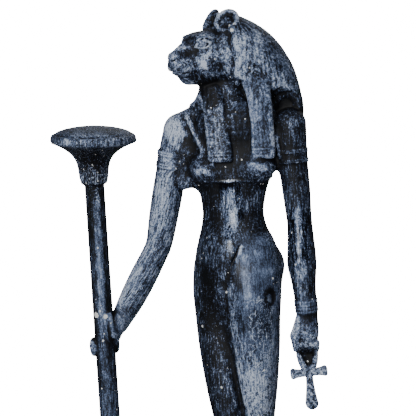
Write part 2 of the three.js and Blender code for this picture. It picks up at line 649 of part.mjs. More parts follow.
// Fewer, larger faces: each step joins the two ends of the edge whose loss moves the
// surface least, as measured by the squared distance to the planes that met there.
function simplified({ positions, triangles }, keep) {
  const P = Float64Array.from(positions);
  const F = Int32Array.from(triangles);
  const count = P.length / 3;
  const Q = new Float64Array(count * 10);
  const around = Array.from({ length: count }, () => []);
  const alive = new Uint8Array(F.length / 3).fill(1);
  const stamp = new Int32Array(count);
  let faces = F.length / 3;
  const planeOf = (a, b, c) => {
    const ux = P[b * 3] - P[a * 3];
    const uy = P[b * 3 + 1] - P[a * 3 + 1];
    const uz = P[b * 3 + 2] - P[a * 3 + 2];
    const vx = P[c * 3] - P[a * 3];
    const vy = P[c * 3 + 1] - P[a * 3 + 1];
    const vz = P[c * 3 + 2] - P[a * 3 + 2];
    return [uy * vz - uz * vy, uz * vx - ux * vz, ux * vy - uy * vx];
  };
  for (let f = 0; f < faces; f++) {
    const corners = [F[f * 3], F[f * 3 + 1], F[f * 3 + 2]];
    const n = planeOf(...corners);
    const size = hypot(...n);
    for (const v of corners) around[v].push(f);
    if (size < 1e-12) continue;
    const [a, b, c] = n.map((s) => s / size);
    const d = -(a * P[corners[0] * 3] + b * P[corners[0] * 3 + 1] + c * P[corners[0] * 3 + 2]);
    const terms = [a * a, a * b, a * c, a * d, b * b, b * c, b * d, c * c, c * d, d * d];
    for (const v of corners) terms.forEach((t, i) => (Q[v * 10 + i] += t * size));
  }
  const errorAt = (q, x, y, z) =>
    q[0] * x * x + 2 * q[1] * x * y + 2 * q[2] * x * z + 2 * q[3] * x + q[4] * y * y
    + 2 * q[5] * y * z + 2 * q[6] * y + q[7] * z * z + 2 * q[8] * z + q[9];
  const bestJoin = (u, v) => {
    const q = [];
    for (let i = 0; i < 10; i++) q.push(Q[u * 10 + i] + Q[v * 10 + i]);
    const ends = [u, v].map((n) => [P[n * 3], P[n * 3 + 1], P[n * 3 + 2]]);
    const mid = ends[0].map((s, i) => (s + ends[1][i]) / 2);
    const det = q[0] * (q[4] * q[7] - q[5] * q[5]) - q[1] * (q[1] * q[7] - q[5] * q[2])
      + q[2] * (q[1] * q[5] - q[4] * q[2]);
    const long = hypot(ends[0][0] - ends[1][0], ends[0][1] - ends[1][1], ends[0][2] - ends[1][2]);
    const spots = [...ends, mid];
    if (abs(det) > 1e-6 * (q[0] + q[4] + q[7]) ** 3) {
      const [rx, ry, rz] = [-q[3], -q[6], -q[8]];
      const sx = (rx * (q[4] * q[7] - q[5] * q[5]) - q[1] * (ry * q[7] - q[5] * rz)
        + q[2] * (ry * q[5] - q[4] * rz)) / det;
      const sy = (q[0] * (ry * q[7] - rz * q[5]) - rx * (q[1] * q[7] - q[5] * q[2])
        + q[2] * (q[1] * rz - ry * q[2])) / det;
      const sz = (q[0] * (q[4] * rz - ry * q[5]) - q[1] * (q[1] * rz - ry * q[2])
        + rx * (q[1] * q[5] - q[4] * q[2])) / det;
      if (hypot(sx - mid[0], sy - mid[1], sz - mid[2]) < long * 1.5) spots.push([sx, sy, sz]);
    }
    let best = spots[0];
    let cost = Infinity;
    for (const s of spots) {
      const e = errorAt(q, ...s);
      if (e < cost) [best, cost] = [s, e];
    }
    return { u, v, at: best, cost: max(cost, 0) + 1e-4 * long * long, su: stamp[u], sv: stamp[v] };
  };
  const heap = [];
  const push = (item) => {
    let i = heap.push(item) - 1;
    while (i > 0) {
      const up = (i - 1) >> 1;
      if (heap[up].cost <= item.cost) break;
      heap[i] = heap[up];
      i = up;
    }
    heap[i] = item;
  };
  const pop = () => {
    const top = heap[0];
    const last = heap.pop();
    if (heap.length === 0) return top;
    let i = 0;
    for (;;) {
      let down = 2 * i + 1;
      if (down >= heap.length) break;
      if (down + 1 < heap.length && heap[down + 1].cost < heap[down].cost) down++;
      if (heap[down].cost >= last.cost) break;
      heap[i] = heap[down];
      i = down;
    }
    heap[i] = last;
    return top;
  };
  const neighbours = (v) => {
    const found = new Set();
    for (const f of around[v]) {
      for (let i = 0; i < 3; i++) if (F[f * 3 + i] !== v) found.add(F[f * 3 + i]);
    }
    return found;
  };
  // True if moving vertex v to a new spot turns one of its faces over or makes it a sliver.
  const spoils = (v, other, at) => {
    for (const f of around[v]) {
      const c = [F[f * 3], F[f * 3 + 1], F[f * 3 + 2]];
      if (c.includes(other)) continue;
      const before = planeOf(...c);
      const p = c.map((n) => (n === v ? at : [P[n * 3], P[n * 3 + 1], P[n * 3 + 2]]));
      const u = [0, 1, 2].map((i) => p[1][i] - p[0][i]);
      const w = [0, 1, 2].map((i) => p[2][i] - p[0][i]);
      const t = [0, 1, 2].map((i) => p[2][i] - p[1][i]);
      const after = [u[1] * w[2] - u[2] * w[1], u[2] * w[0] - u[0] * w[2], u[0] * w[1] - u[1] * w[0]];
      const size = hypot(...after);
      const dot = before[0] * after[0] + before[1] * after[1] + before[2] * after[2];
      if (dot < 0.25 * hypot(...before) * size) return true;
      const edges = hypot(...u) ** 2 + hypot(...w) ** 2 + hypot(...t) ** 2;
      if (size < SLIVER * edges && size < hypot(...before)) return true;
    }
    return false;
  };
  for (let f = 0; f < faces; f++) {
    for (let i = 0; i < 3; i++) {
      const u = F[f * 3 + i];
      const v = F[f * 3 + ((i + 1) % 3)];
      if (u < v) push(bestJoin(u, v));
    }
  }
  while (faces > keep && heap.length > 0) {
    const { u, v, at, su, sv } = pop();
    if (su !== stamp[u] || sv !== stamp[v]) continue;
    const nu = neighbours(u);
    if (!nu.has(v)) continue;
    let shared = 0;
    for (const n of neighbours(v)) if (nu.has(n)) shared++;
    if (shared !== 2 || spoils(u, v, at) || spoils(v, u, at)) continue;
    for (const f of around[v]) {
      const c = [F[f * 3], F[f * 3 + 1], F[f * 3 + 2]];
      if (c.includes(u)) {
        alive[f] = 0;
        faces--;
        for (const n of c) if (n !== v) around[n] = around[n].filter((g) => g !== f);
      } else {
        for (let i = 0; i < 3; i++) if (F[f * 3 + i] === v) F[f * 3 + i] = u;
        around[u].push(f);
      }
    }
    around[v] = [];
    P.set(at, u * 3);
    for (let i = 0; i < 10; i++) Q[u * 10 + i] += Q[v * 10 + i];
    stamp[u]++;
    stamp[v] = -1;
    for (const n of neighbours(u)) push(bestJoin(min(u, n), max(u, n)));
  }
  const kept = [];
  for (let f = 0; f < alive.length; f++) {
    if (alive[f]) kept.push(F[f * 3], F[f * 3 + 1], F[f * 3 + 2]);
  }
  return { positions: P, triangles: kept };
}

function geometryOf({ positions, triangles }) {
  const geometry = new THREE.BufferGeometry();
  geometry.setAttribute("position", new THREE.BufferAttribute(Float32Array.from(positions), 3));
  geometry.setIndex(triangles);
  return geometry;
}

// The box round the figure, in its own measures, that the surface is looked for in.
const FIGURE_LOW = [-66, -66, -6];
const FIGURE_HIGH = [50, 34, 301];

// The free forms: her body, arms, head and hair, standing on the plinth.
function figureGeometry() {
  const step = MODELLED_HEIGHT / CELLS_IN_HEIGHT;
  const raw = surfaceOf(figure, FIGURE_LOW, FIGURE_HIGH, step);
  const geometry = geometryOf(simplified(raw, FIGURE_FACES));
  geometry.scale(FIGURE_SCALE, FIGURE_SCALE, FIGURE_SCALE);
  geometry.translate(FIGURE_X, FIGURE_Y, PLINTH_HEIGHT);
  return geometry;
}

function plinthGeometry() {
  const w = PLINTH_WIDTH / 2 - PLINTH_EDGE;
  const d = PLINTH_DEPTH / 2 - PLINTH_EDGE;
  const r = min(PLINTH_CORNER, w, d) - PLINTH_EDGE;
  const outline = new THREE.Shape();
  outline.absarc(w - r, d - r, r, 0, Math.PI / 2);
  outline.absarc(r - w, d - r, r, Math.PI / 2, Math.PI);
  outline.absarc(r - w, r - d, r, Math.PI, 1.5 * Math.PI);
  outline.absarc(w - r, r - d, r, 1.5 * Math.PI, 2 * Math.PI);
  const geometry = new THREE.ExtrudeGeometry(outline, {
    depth: PLINTH_HEIGHT - 2 * PLINTH_EDGE,
    bevelThickness: PLINTH_EDGE,
    bevelSize: PLINTH_EDGE,
    bevelSegments: 2,
    curveSegments: CURVE_SEGMENTS,
  });
  geometry.translate(0, 0, PLINTH_EDGE);
  return geometry;
}

// How the bell opens: [share of its height, share of the way from the calyx to the rim].
const BELL_CURVE = [
  [0.17, 0.02],
  [0.33, 0.05],
  [0.5, 0.12],
  [0.67, 0.27],
  [0.83, 0.53],
  [0.93, 0.77],
  [1, 0.97],
];
const CALYX_STEP = 3;
const STALK_SWELL = 1.04;
const ROUND_SEGMENTS = 28;
const DOME_STEPS = 4;
// The dome starts a little inside the rim, and this power of a sine gives its low crown.
const DOME_SHARE = 0.985;
const DOME_POWER = 1.2;

// Leans what is above one height over to one side, by the full angle from another height on.
function tiltAbove(geometry, start, full) {
  const position = geometry.attributes.position;
  const towards = radians(UMBEL_TILT_TOWARDS);
  const [tx, ty] = [cos(towards), sin(towards)];
  for (let i = 0; i < position.count; i++) {
    const [x, y, z] = [position.getX(i), position.getY(i), position.getZ(i)];
    const angle = radians(UMBEL_TILT) * min(max((z - start) / (full - start), 0), 1);
    const out = x * tx + y * ty;
    const over = out * (cos(angle) - 1) + (z - start) * sin(angle);
    const drop = (z - start) * (1 - cos(angle)) + out * sin(angle);
    position.setXYZ(i, x + over * tx, y + over * ty, z - drop);
  }
}

// Stalk and umbel in one profile, from a foot sunk in the plinth to the dome's top.
function sceptreGeometry() {
  const stalk = STALK_DIAMETER / 2;
  const calyx = CALYX_DIAMETER / 2;
  const umbel = UMBEL_DIAMETER / 2;
  const rimLow = SCEPTRE_HEIGHT - UMBEL_DOME - UMBEL_RIM;
  const rimHigh = rimLow + UMBEL_RIM;
  const calyxLow = rimLow - UMBEL_HEIGHT;
  const bellLow = calyxLow + CALYX_STEP;
  const sunk = PLINTH_HEIGHT / 2;
  const profile = [
    new THREE.Vector2(0, -sunk),
    new THREE.Vector2(stalk * STALK_SWELL, -sunk),
    new THREE.Vector2(stalk * STALK_SWELL, calyxLow / 2),
    new THREE.Vector2(stalk, calyxLow - CALYX_STEP / 3),
    new THREE.Vector2(lerp(stalk, calyx, 0.7), calyxLow),
    new THREE.Vector2(calyx, bellLow),
  ];
  for (const [up, out] of BELL_CURVE) {
    profile.push(new THREE.Vector2(lerp(calyx, umbel, out), lerp(bellLow, rimLow, up)));
  }
  profile.push(new THREE.Vector2(umbel, rimLow + UMBEL_RIM / 3));
  for (let i = 0; i < DOME_STEPS; i++) {
    const turn = (i / DOME_STEPS) * (Math.PI / 2);
    const up = UMBEL_DOME * sin(turn) ** DOME_POWER;
    profile.push(new THREE.Vector2(umbel * DOME_SHARE * cos(turn), rimHigh + up));
  }
  profile.push(new THREE.Vector2(0, SCEPTRE_HEIGHT));
  const geometry = new THREE.LatheGeometry(profile, ROUND_SEGMENTS);
  geometry.rotateX(Math.PI / 2);
  tiltAbove(geometry, calyxLow, rimLow);
  const lean = new THREE.Vector3(SCEPTRE_LEAN_X, SCEPTRE_LEAN_Y, SCEPTRE_HEIGHT).normalize();
  const turn = new THREE.Quaternion().setFromUnitVectors(new THREE.Vector3(0, 0, 1), lean);
  geometry.applyQuaternion(turn);
  geometry.translate(SCEPTRE_X, SCEPTRE_Y, PLINTH_HEIGHT);
  return geometry;
}

// The ankh, drawn in its own plane with the middle of the cross at the origin.
function ankhGeometry() {
  const bar = ANKH_BAR_LENGTH / 2;
  const narrow = ANKH_BAR_WIDTH / 2;
  const wide = ANKH_BAR_END / 2;
  const corner = ANKH_BAR_CORNER;
  const sole = ANKH_FOOT_WIDTH / 2;
  const foot = -ANKH_SHAFT_LENGTH + sole;
  const loop = ANKH_LOOP_LENGTH;
  const side = ANKH_LOOP_WIDTH / 2;
  const root = ANKH_LOOP_FOOT / 2;
  const outline = new THREE.Shape();
  outline.moveTo(root, narrow);
  outline.bezierCurveTo(side, loop * 0.3, side * 1.25, loop, 0, loop);
  outline.bezierCurveTo(-side * 1.25, loop, -side, loop * 0.3, -root, narrow);
  outline.quadraticCurveTo(-bar * 0.6, narrow * 0.9, corner - bar, wide);
  outline.quadraticCurveTo(-bar, wide, -bar, wide - corner);
  outline.lineTo(-bar, corner - wide);
  outline.quadraticCurveTo(-bar, -wide, corner - bar, -wide);
  outline.quadraticCurveTo(-bar * 0.6, -narrow * 0.9, -narrow, -narrow);
  outline.quadraticCurveTo(-narrow, foot * 0.5, -sole, foot);
  outline.absarc(0, foot, sole, Math.PI, 2 * Math.PI);
  outline.quadraticCurveTo(narrow, foot * 0.5, narrow, -narrow);
  outline.quadraticCurveTo(bar * 0.6, -narrow * 0.9, bar - corner, -wide);
  outline.quadraticCurveTo(bar, -wide, bar, corner - wide);
  outline.lineTo(bar, wide - corner);
  outline.quadraticCurveTo(bar, wide, bar - corner, wide);
  outline.quadraticCurveTo(bar * 0.6, narrow * 0.9, root, narrow);
  outline.holes.push(new THREE.Path(loopHole(0)));
  const cross = new THREE.ExtrudeGeometry(outline, {
    depth: ANKH_THICKNESS - 2 * ANKH_EDGE,
    bevelThickness: ANKH_EDGE,
    bevelSize: ANKH_EDGE,
    bevelOffset: -ANKH_EDGE,
    bevelSegments: 1,
    curveSegments: CURVE_SEGMENTS,
  });
  cross.translate(0, 0, ANKH_EDGE - ANKH_THICKNESS / 2);
  const web = new THREE.ExtrudeGeometry(new THREE.Shape(loopHole(ANKH_WEB_BITE)), {
    depth: ANKH_WEB,
    bevelEnabled: false,
  });
  web.translate(0, 0, -ANKH_WEB / 2);
  return [cross, web].map(hung);
}

// The hole in the loop as points, let out by grow on all sides.
function loopHole(grow) {
  const half = ANKH_LOOP_WIDTH / 2 - ANKH_LOOP_BAR + grow;
  const top = ANKH_LOOP_LENGTH - ANKH_LOOP_BAR + grow;
  const bottom = ANKH_BAR_WIDTH / 2 + ANKH_LOOP_BAR * 0.6 - grow;
  const wide = ANKH_LOOP_LENGTH * 0.4;
  const hole = new THREE.Path();
  hole.moveTo(0, bottom);
  hole.bezierCurveTo(half * 1.1, wide, half * 1.3, top, 0, top);
  hole.bezierCurveTo(-half * 1.3, top, -half * 1.1, wide, 0, bottom);
  return hole.getPoints(CURVE_SEGMENTS);
}

// Hangs a piece of the ankh from the fist: stood up to face -Y, rolled a little in its own
// plane, then turned with the hand.
function hung(geometry) {
  geometry.rotateX(Math.PI / 2);
  geometry.rotateY(radians(ANKH_ROLL));
  geometry.rotateZ(radians(HAND_YAW));
  geometry.translate(
    FIGURE_X + (LEFT_FIST[0] + 0.6) * FIGURE_SCALE,
    FIGURE_Y + (LEFT_FIST[1] + 0.6) * FIGURE_SCALE,
    PLINTH_HEIGHT + LEFT_FIST[2] * FIGURE_SCALE - ANKH_HANG);
  return geometry;
}

const wasm = await Module();
wasm.setup();

function solidFrom(geometry) {
  geometry.deleteAttribute("normal");
  geometry.deleteAttribute("uv");
  const merged = mergeVertices(geometry, 1e-4);
  return new wasm.Manifold(new wasm.Mesh({
    numProp: 3,
    vertProperties: merged.attributes.position.array,
    triVerts: new Uint32Array(merged.index.array),
  }));
}

const casting = [plinthGeometry(), sceptreGeometry(), ...ankhGeometry()]
  .map(solidFrom)
  .reduce((whole, piece) => whole.add(piece), solidFrom(figureGeometry()));
const mesh = casting.getMesh();
const statue = new THREE.Mesh(
  geometryOf({ positions: mesh.vertProperties, triangles: Array.from(mesh.triVerts) }),
  new THREE.MeshStandardMaterial(PAINT));
statue.name = "statue";

const root = new THREE.Group();
root.add(statue);
export default root;
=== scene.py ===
"""Lioness-headed goddess: a souvenir statuette, cast in one piece from bound stone powder and painted black."""
import math
import bpy
import numpy as np
from mathutils import Matrix, Vector


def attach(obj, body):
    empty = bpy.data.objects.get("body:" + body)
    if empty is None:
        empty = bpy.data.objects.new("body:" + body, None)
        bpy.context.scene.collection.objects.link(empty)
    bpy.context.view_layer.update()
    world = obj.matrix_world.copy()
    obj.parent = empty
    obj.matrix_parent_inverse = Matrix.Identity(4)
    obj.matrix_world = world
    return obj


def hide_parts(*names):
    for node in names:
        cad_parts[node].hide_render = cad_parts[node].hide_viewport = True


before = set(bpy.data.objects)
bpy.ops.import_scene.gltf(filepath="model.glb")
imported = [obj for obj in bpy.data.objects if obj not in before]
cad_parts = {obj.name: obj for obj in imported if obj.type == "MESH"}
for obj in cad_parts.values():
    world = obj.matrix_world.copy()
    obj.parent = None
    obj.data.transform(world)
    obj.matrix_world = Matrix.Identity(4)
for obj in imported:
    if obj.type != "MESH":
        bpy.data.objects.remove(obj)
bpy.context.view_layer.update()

# The photograph's standpoint.
# The camera looks at her from her left front, a little from above, and is held a little askew. Angles are in
# degrees and lengths in mm. The lens is a long one, as the lack of foreshortening shows.
MM = 0.001
FIGURE_X, FIGURE_Y = 19.0, 21.0
AZIMUTH, ELEVATION, ROLL = 40.0, 9.0, 3.0
CAMERA_DISTANCE = 900.0
LENS, SENSOR = 155.0, 36.0
AIM_LEFT, AIM_HEIGHT = 13.7, 206.0


def put(name, data):
    """An object of that name and data, placed in the scene."""
    thing = bpy.data.objects.new(name, data)
    bpy.context.scene.collection.objects.link(thing)
    return thing


turn, rise, roll = (math.radians(a) for a in (AZIMUTH, ELEVATION, ROLL))
back = Vector((math.sin(turn) * math.cos(rise), -math.cos(turn) * math.cos(rise), math.sin(rise)))
level = Vector((math.cos(turn), math.sin(turn), 0.0))
upright = back.cross(level)
right = math.cos(roll) * level - math.sin(roll) * upright
above = back.cross(right)
aim = Vector((FIGURE_X, FIGURE_Y, AIM_HEIGHT)) - AIM_LEFT * level
stand = (aim + CAMERA_DISTANCE * back) * MM
camera = put("camera", bpy.data.cameras.new("camera"))
camera.data.lens, camera.data.sensor_width = LENS, SENSOR
camera.data.clip_start, camera.data.clip_end = 0.01, 100.0
camera.matrix_world = Matrix((
    (right.x, above.x, back.x, stand.x),
    (right.y, above.y, back.y, stand.y),
    (right.z, above.z, back.z, stand.z),
    (0, 0, 0, 1)))
bpy.context.scene.camera = camera

# Trunk, dress and legs.
# A tight dress from under the breasts to the ankles, modelled as one smooth body in which the legs just show.
# It is stone powder bound with resin, like all of her, and cast in one with the rest.

# Every form is the distance to its surface in mm, negative inside, at points p given as three rows.
# x and y run from the axis through her ankles and z from her soles; she faces -y and her left is +x.
REACH = 8.0


def rows_of(*points):
    """Points as arrays of three rows, so that they add to many points at once."""
    return [np.array(v, np.float32).reshape(3, 1) for v in points]


class Form:
    """A distance function with the box that holds its solid; farther off, the box's distance stands for it."""

    def __init__(self, low, high, distance):
        self.low, self.high = rows_of(low, high)
        self.distance = distance

    def __call__(self, p):
        gap = np.maximum(np.maximum(self.low - p, p - self.high), 0)
        d = np.sqrt((gap * gap).sum(0))
        near = d < REACH
        if near.any():
            d[near] = self.distance(p[:, near])
        return d


def boxes(forms):
    """The box round the boxes of forms."""
    return np.min([f.low for f in forms], 0), np.max([f.high for f in forms], 0)


def turned_box(form, matrix):
    """The box round a form's box after its points have gone through a 3 x 3 matrix."""
    corners = np.array([[(form.low, form.high)[(n >> i) & 1][i, 0] for i in range(3)] for n in range(8)])
    moved = corners @ matrix.T
    return moved.min(0), moved.max(0)


def blend(k, *forms):
    """The union of forms, with a fillet of about size k where they meet."""
    def distance(p):
        d = forms[0](p)
        for form in forms[1:]:
            e = form(p)
            h = np.maximum(k - np.abs(d - e), 0) / k
            d = np.minimum(d, e) - h * h * k * 0.25
        return d
    return Form(*boxes(forms), distance)


def cut(k, form, tool):
    """A form less another, with a rounding of size k along the cut's edge."""
    def distance(p):
        d, e = form(p), -tool(p)
        h = np.maximum(k - np.abs(d - e), 0) / k
        return np.maximum(d, e) + h * h * k * 0.25
    return Form(form.low, form.high, distance)


def egg(centre, radii):
    """An egg with its half size along each axis."""
    c, r = rows_of(centre, radii)

    def distance(p):
        e = (p - c) / r
        k = np.sqrt((e * e).sum(0))
        slope = np.sqrt(((e / r) ** 2).sum(0))
        return np.maximum(k * (k - 1) / np.maximum(slope, 1e-9), -r.min())
    return Form(c - r, c + r, distance)


def ball(centre, radius):
    """An egg that is as large each way."""
    return egg(centre, (radius, radius, radius))


def rounded(q, rounding):
    """The distance for a box whose sides are q deep at each point, with rounded edges."""
    return np.sqrt((np.maximum(q, 0) ** 2).sum(0)) + np.minimum(q.max(0), 0) - rounding


def slab(centre, half, rounding):
    """A box with rounded edges, from its half sizes."""
    c, h = rows_of(centre, half)
    return Form(c - h, c + h, lambda p: rounded(np.abs(p - c) - h + rounding, rounding))


def limb(a, b, ra, rb):
    """A limb from a to b whose round section goes from radius ra to rb."""
    a, b = rows_of(a, b)
    along = b - a
    length2 = float((along * along).sum())
    rr = ra - rb
    a2 = length2 - rr * rr
    il2 = 1 / length2

    def distance(p):
        pa = p - a
        y = (pa * along).sum(0)
        z = y - length2
        v = pa * length2 - along * y
        x2 = (v * v).sum(0)
        y2, z2 = y * y * length2, z * z * length2
        k = math.copysign(1, rr) * rr * rr * x2 if rr else 0 * x2
        body = (np.sqrt(x2 * a2 * il2) + y * rr) * il2 - ra
        low_end = np.sign(y) * a2 * y2 < k
        high_end = np.sign(z) * a2 * z2 > k
        body[low_end] = (np.sqrt(x2 + y2) * il2 - ra)[low_end]
        body[high_end] = (np.sqrt(x2 + z2) * il2 - rb)[high_end]
        return body
    r = max(ra, rb)
    return Form(np.minimum(a, b) - r, np.maximum(a, b) + r, distance)


def chain(k, stops):
    """A limb through several points, each (x, y, z, radius)."""
    return blend(k, *(limb(a[:3], b[:3], a[3], b[3]) for a, b in zip(stops, stops[1:])))


def smooth_row(knots):
    """The smooth curve through knots (z, value...), rising in z: a function from z to its values."""
    knots = np.array(knots, np.float32)
    before, after = np.vstack([knots[:1], knots[:-1]]), np.vstack([knots[1:], knots[-1:]])
    slopes = ((after - before) / (after - before)[:, :1])[:, 1:]

    def row(z):
        i = np.clip(np.searchsorted(knots[:, 0], z, side="right") - 1, 0, len(knots) - 2)
        span = knots[i + 1, 0] - knots[i, 0]
        t = np.clip((z - knots[i, 0]) / span, 0, 1)
        t2, t3 = t * t, t * t * t
        return ((2 * t3 - 3 * t2 + 1) * knots[i, 1:].T + (t3 - 2 * t2 + t) * span * slopes[i].T
                + (3 * t2 - 2 * t3) * knots[i + 1, 1:].T + (t3 - t2) * span * slopes[i + 1].T)
    return row


def section(p, row, low, high):
    """How far across and back points lie in the level section at their height, then that section's sizes."""
    x, y, yaw, *sizes = row(np.clip(p[2], low, high))
    c, s = np.cos(np.radians(yaw)), np.sin(np.radians(yaw))
    return ((p[0] - x) * c + (p[1] - y) * s, (p[1] - y) * c - (p[0] - x) * s, *sizes)


def standing(knots, reach, distance):
    """A form that stands along knots (z, middle x, middle y, ...) and stays within reach of their middles."""
    zs, xs, ys = list(zip(*knots))[:3]
    return Form((min(xs) - reach, min(ys) - reach, zs[0]), (max(xs) + reach, max(ys) + reach, zs[-1]), distance)


def column(knots, rounding, carving=None):
    """An upright body with an oval section at each height, from knots
    (z, middle x, middle y, yaw, half width, front depth, back depth). The carving, if there is one,
    gives the height of its relief from z and the angle round the section, 0 at +x and falling to the front."""
    row, low, high = smooth_row(knots), knots[0][0], knots[-1][0]

    def distance(p):
        across, rear, width, front, behind = section(p, row, low, high)
        depth = np.where(rear < 0, front, behind)
        k = np.hypot(across / width, rear / depth)
        slope = np.hypot(across / width ** 2, rear / depth ** 2)
        flat = np.maximum(k * (k - 1) / np.maximum(slope, 1e-9), -np.minimum(width, depth))
        if carving:
            flat = flat - carving(p[2], np.arctan2(rear / depth, across / width))
        end = np.maximum(low - p[2], p[2] - high)
        return rounded(np.stack([end, flat]) + rounding, rounding)
    return standing(knots, max(max(knot[4:]) for knot in knots), distance)


def placed(middle, yaw, form):
    """A form that was made facing -y, turned by yaw degrees about z and moved to its middle."""
    c, s = math.cos(math.radians(yaw)), math.sin(math.radians(yaw))
    there = np.array([[c, -s, 0], [s, c, 0], [0, 0, 1]])
    (m,), turned = rows_of(middle), there.T.astype(np.float32)
    low, high = turned_box(form, there)
    return Form(low.reshape(3, 1) + m, high.reshape(3, 1) + m, lambda p: form(turned @ (p - m)))


def mirrored(form):
    """A form made at +x, on both sides."""
    reach = max(abs(form.low[0, 0]), abs(form.high[0, 0]))
    low, high = form.low.copy(), form.high.copy()
    low[0], high[0] = -reach, reach
    return Form(low, high, lambda p: form(np.stack([np.abs(p[0]), p[1], p[2]])))


def fade(value, start, end):
    """0 before start, 1 past end, smooth between."""
    t = np.clip((value - start) / (end - start), 0, 1)
    return t * t * (3 - 2 * t)


def ridges(value, sharp):
    """Rounded ridges a unit apart, 1 high, with narrow grooves between them at the whole numbers."""
    return np.abs(np.sin(np.pi * value)) ** sharp


# How far the chest is turned to her left, and about which middle.
CHEST_YAW, CHEST_MIDDLE = 26.0, (1.1, 1.0, 0.0)
BODICE_PROUD, BODICE_LOW, BODICE_HIGH = 0.2, 207.6, (219, 224)
CORD_RELIEF, CORD_HALF, CORD_WAVE, CORD_WAVES = 0.5, 0.55, 0.2, 9


def dress_top(z, angle):
    """The bodice stands a little proud, and ends in a corded hem under the breasts."""
    proud = BODICE_PROUD * fade(z, BODICE_LOW - 0.5, BODICE_LOW + 0.1) * (1 - fade(z, *BODICE_HIGH))
    off = z - BODICE_LOW - CORD_WAVE * np.sin(angle * CORD_WAVES)
    return proud + CORD_RELIEF * np.exp(-(off / CORD_HALF) ** 2)


trunk = column([
    (126, 0, -1.9, 0, 16.0, 10.4, 10.0),
    (138, 0, -1.7, 0, 19.0, 12.6, 12.0),
    (150, 0, -1.4, 0, 22.8, 15.6, 14.4),
    (160, 0, -0.4, 0, 24.2, 17.6, 16.0),
    (169, 0, -0.2, 2, 23.2, 16.8, 15.2),
    (177, 0, -0.2, 6, 20.6, 15.0, 12.5),
    (183, -0.6, -0.5, 9, 17.7, 14.0, 11.0),
    (190, -0.8, -0.7, 13, 16.1, 12.5, 10.5),
    (197, -0.7, -0.5, 18, 16.6, 12.5, 11.0),
    (204, -0.5, -0.1, 22, 18.0, 12.8, 11.6),
    (212, 0.2, 0.5, 25, 20.6, 13.4, 12.2),
    (223, 1.0, 0.9, 26, 23.4, 12.6, 13.0),
    (231, 1.1, 1.0, 26, 24.6, 11.0, 12.4),
    (238, 1.6, 1.6, 26, 19.0, 9.5, 11.2),
    (245, 1.6, 1.6, 24, 11.5, 9.0, 9.6)], 2, dress_top)
buttocks = mirrored(egg((8.8, 8.2, 162.5), (11.3, 10.8, 10.6)))
belly = egg((0, -8.5, 172), (12, 9.5, 12))
breasts = placed(CHEST_MIDDLE, CHEST_YAW, mirrored(egg((12.5, -8.4, 213.8), (8.6, 6.6, 6.6))))
straps = blend(0.5,
    chain(0.5, [(-18.8, -11.2, 240.6, 1.2), (-17.1, -13.1, 238.8, 1.5), (-12.5, -13.1, 231.5, 1.6),
                (-7.4, -13.9, 223.2, 1.5), (-6.6, -15.2, 219.4, 1.2)]),
    chain(0.5, [(21.0, 3.0, 236, 1.2), (24.3, 5.1, 228, 1.4), (26.0, 5.5, 218.6, 1.3)]),
    ball((-0.6, -15.8, 216.0), 1.3))

# Half width, front depth and back depth of a leg at each height; then where its middle is at those heights.
LEG_SIZES = (
    (3, 5.0, 4.8, 5.0),
    (14, 4.9, 4.8, 5.2),
    (22, 5.4, 5.0, 6.0),
    (36, 7.0, 6.4, 8.4),
    (58, 8.6, 7.8, 9.8),
    (74, 8.8, 8.8, 8.4),
    (84, 9.4, 9.8, 9.0),
    (102, 11.2, 11.8, 11.6),
    (120, 12.4, 12.9, 13.0),
    (134, 12.8, 13.3, 13.4),
    (150, 12.8, 13.4, 13.6),
    (164, 10.0, 11.0, 11.0))


def leg(middles):
    """A leg of LEG_SIZES with its middle where given at each of their heights."""
    return column([(size[0], *middle, 0, *size[1:]) for size, middle in zip(LEG_SIZES, middles)], 2)


left_leg = leg((
    (7.4, 1.6), (7.2, 2.2), (7.0, 2.0), (7.2, 1.8), (7.4, 1.4), (7.6, -0.6),
    (7.8, -1.0), (8.8, -1.7), (9.9, -2.2), (10.6, -2.4), (11.2, -2.2), (11.2, -1.4)))
right_leg = leg((
    (-5.8, -4.6), (-5.2, -4.4), (-4.2, -4.6), (-3.2, -5.2), (-2.2, -6.0), (-1.6, -7.9),
    (-1.7, -8.3), (-3.8, -7.7), (-6.8, -5.9), (-9.1, -4.2), (-11.0, -2.4), (-11.2, -1.4)))

STITCH_RELIEF, STITCH_LOW, STITCH_HIGH, STITCH_GAP = 0.35, 18.2, (23, 23.6), 2.6


def hem_band(z, angle):
    """Two stitched lines round the dress just above its lower edge."""
    return STITCH_RELIEF * (ridges((z - STITCH_LOW) / STITCH_GAP, 0.5) * (1 - fade(z, *STITCH_HIGH)))


dress = column([
    (17, 1.0, -1.4, 0, 13.0, 9.4, 9.4),
    (28, 1.3, -1.5, 0, 13.0, 8.6, 9.2),
    (44, 1.8, -1.7, 0, 11.6, 6.6, 8.2),
    (58, 2.2, -1.9, 0, 10.2, 5.6, 7.2),
    (84, 2.5, -4.0, 0, 10.4, 5.6, 7.0),
    (102, 2.2, -4.3, 0, 11.4, 7.6, 8.6),
    (130, 1.0, -3.4, 0, 13.0, 9.8, 10.0),
    (150, 0.2, -2.1, 0, 15.0, 13.4, 12.6),
    (170, 0, -1.0, 0, 15.0, 14.6, 12.6)], 2, hem_band)
legs = blend(3, blend(1.2, left_leg, right_leg), dress)
# The furrow between her legs, the slit at its top, and the cast ring's hollow on her left hip.
crease = chain(2, [
    (10.2, -17.4, 168, 0.8),
    (6.0, -18.8, 156, 1.0),
    (4.8, -17.6, 138, 1.1),
    (5.2, -15.5, 118, 1.2),
    (7.8, -12.3, 92, 1.3),
    (6.8, -9.6, 60, 1.4)])
slit = chain(0.4, [(12.6, -13.4, 176.2, 0.4), (10.9, -15.2, 171.0, 0.9), (9.0, -16.4, 166.6, 0.5)])
dent = egg((25.0, -4.9, 149.6), (1.7, 3.2, 4.4))

TOES, TOE_GAP, TOE_TAPER, TOE_STAGGER = 5, 2.25, 0.12, 1.6


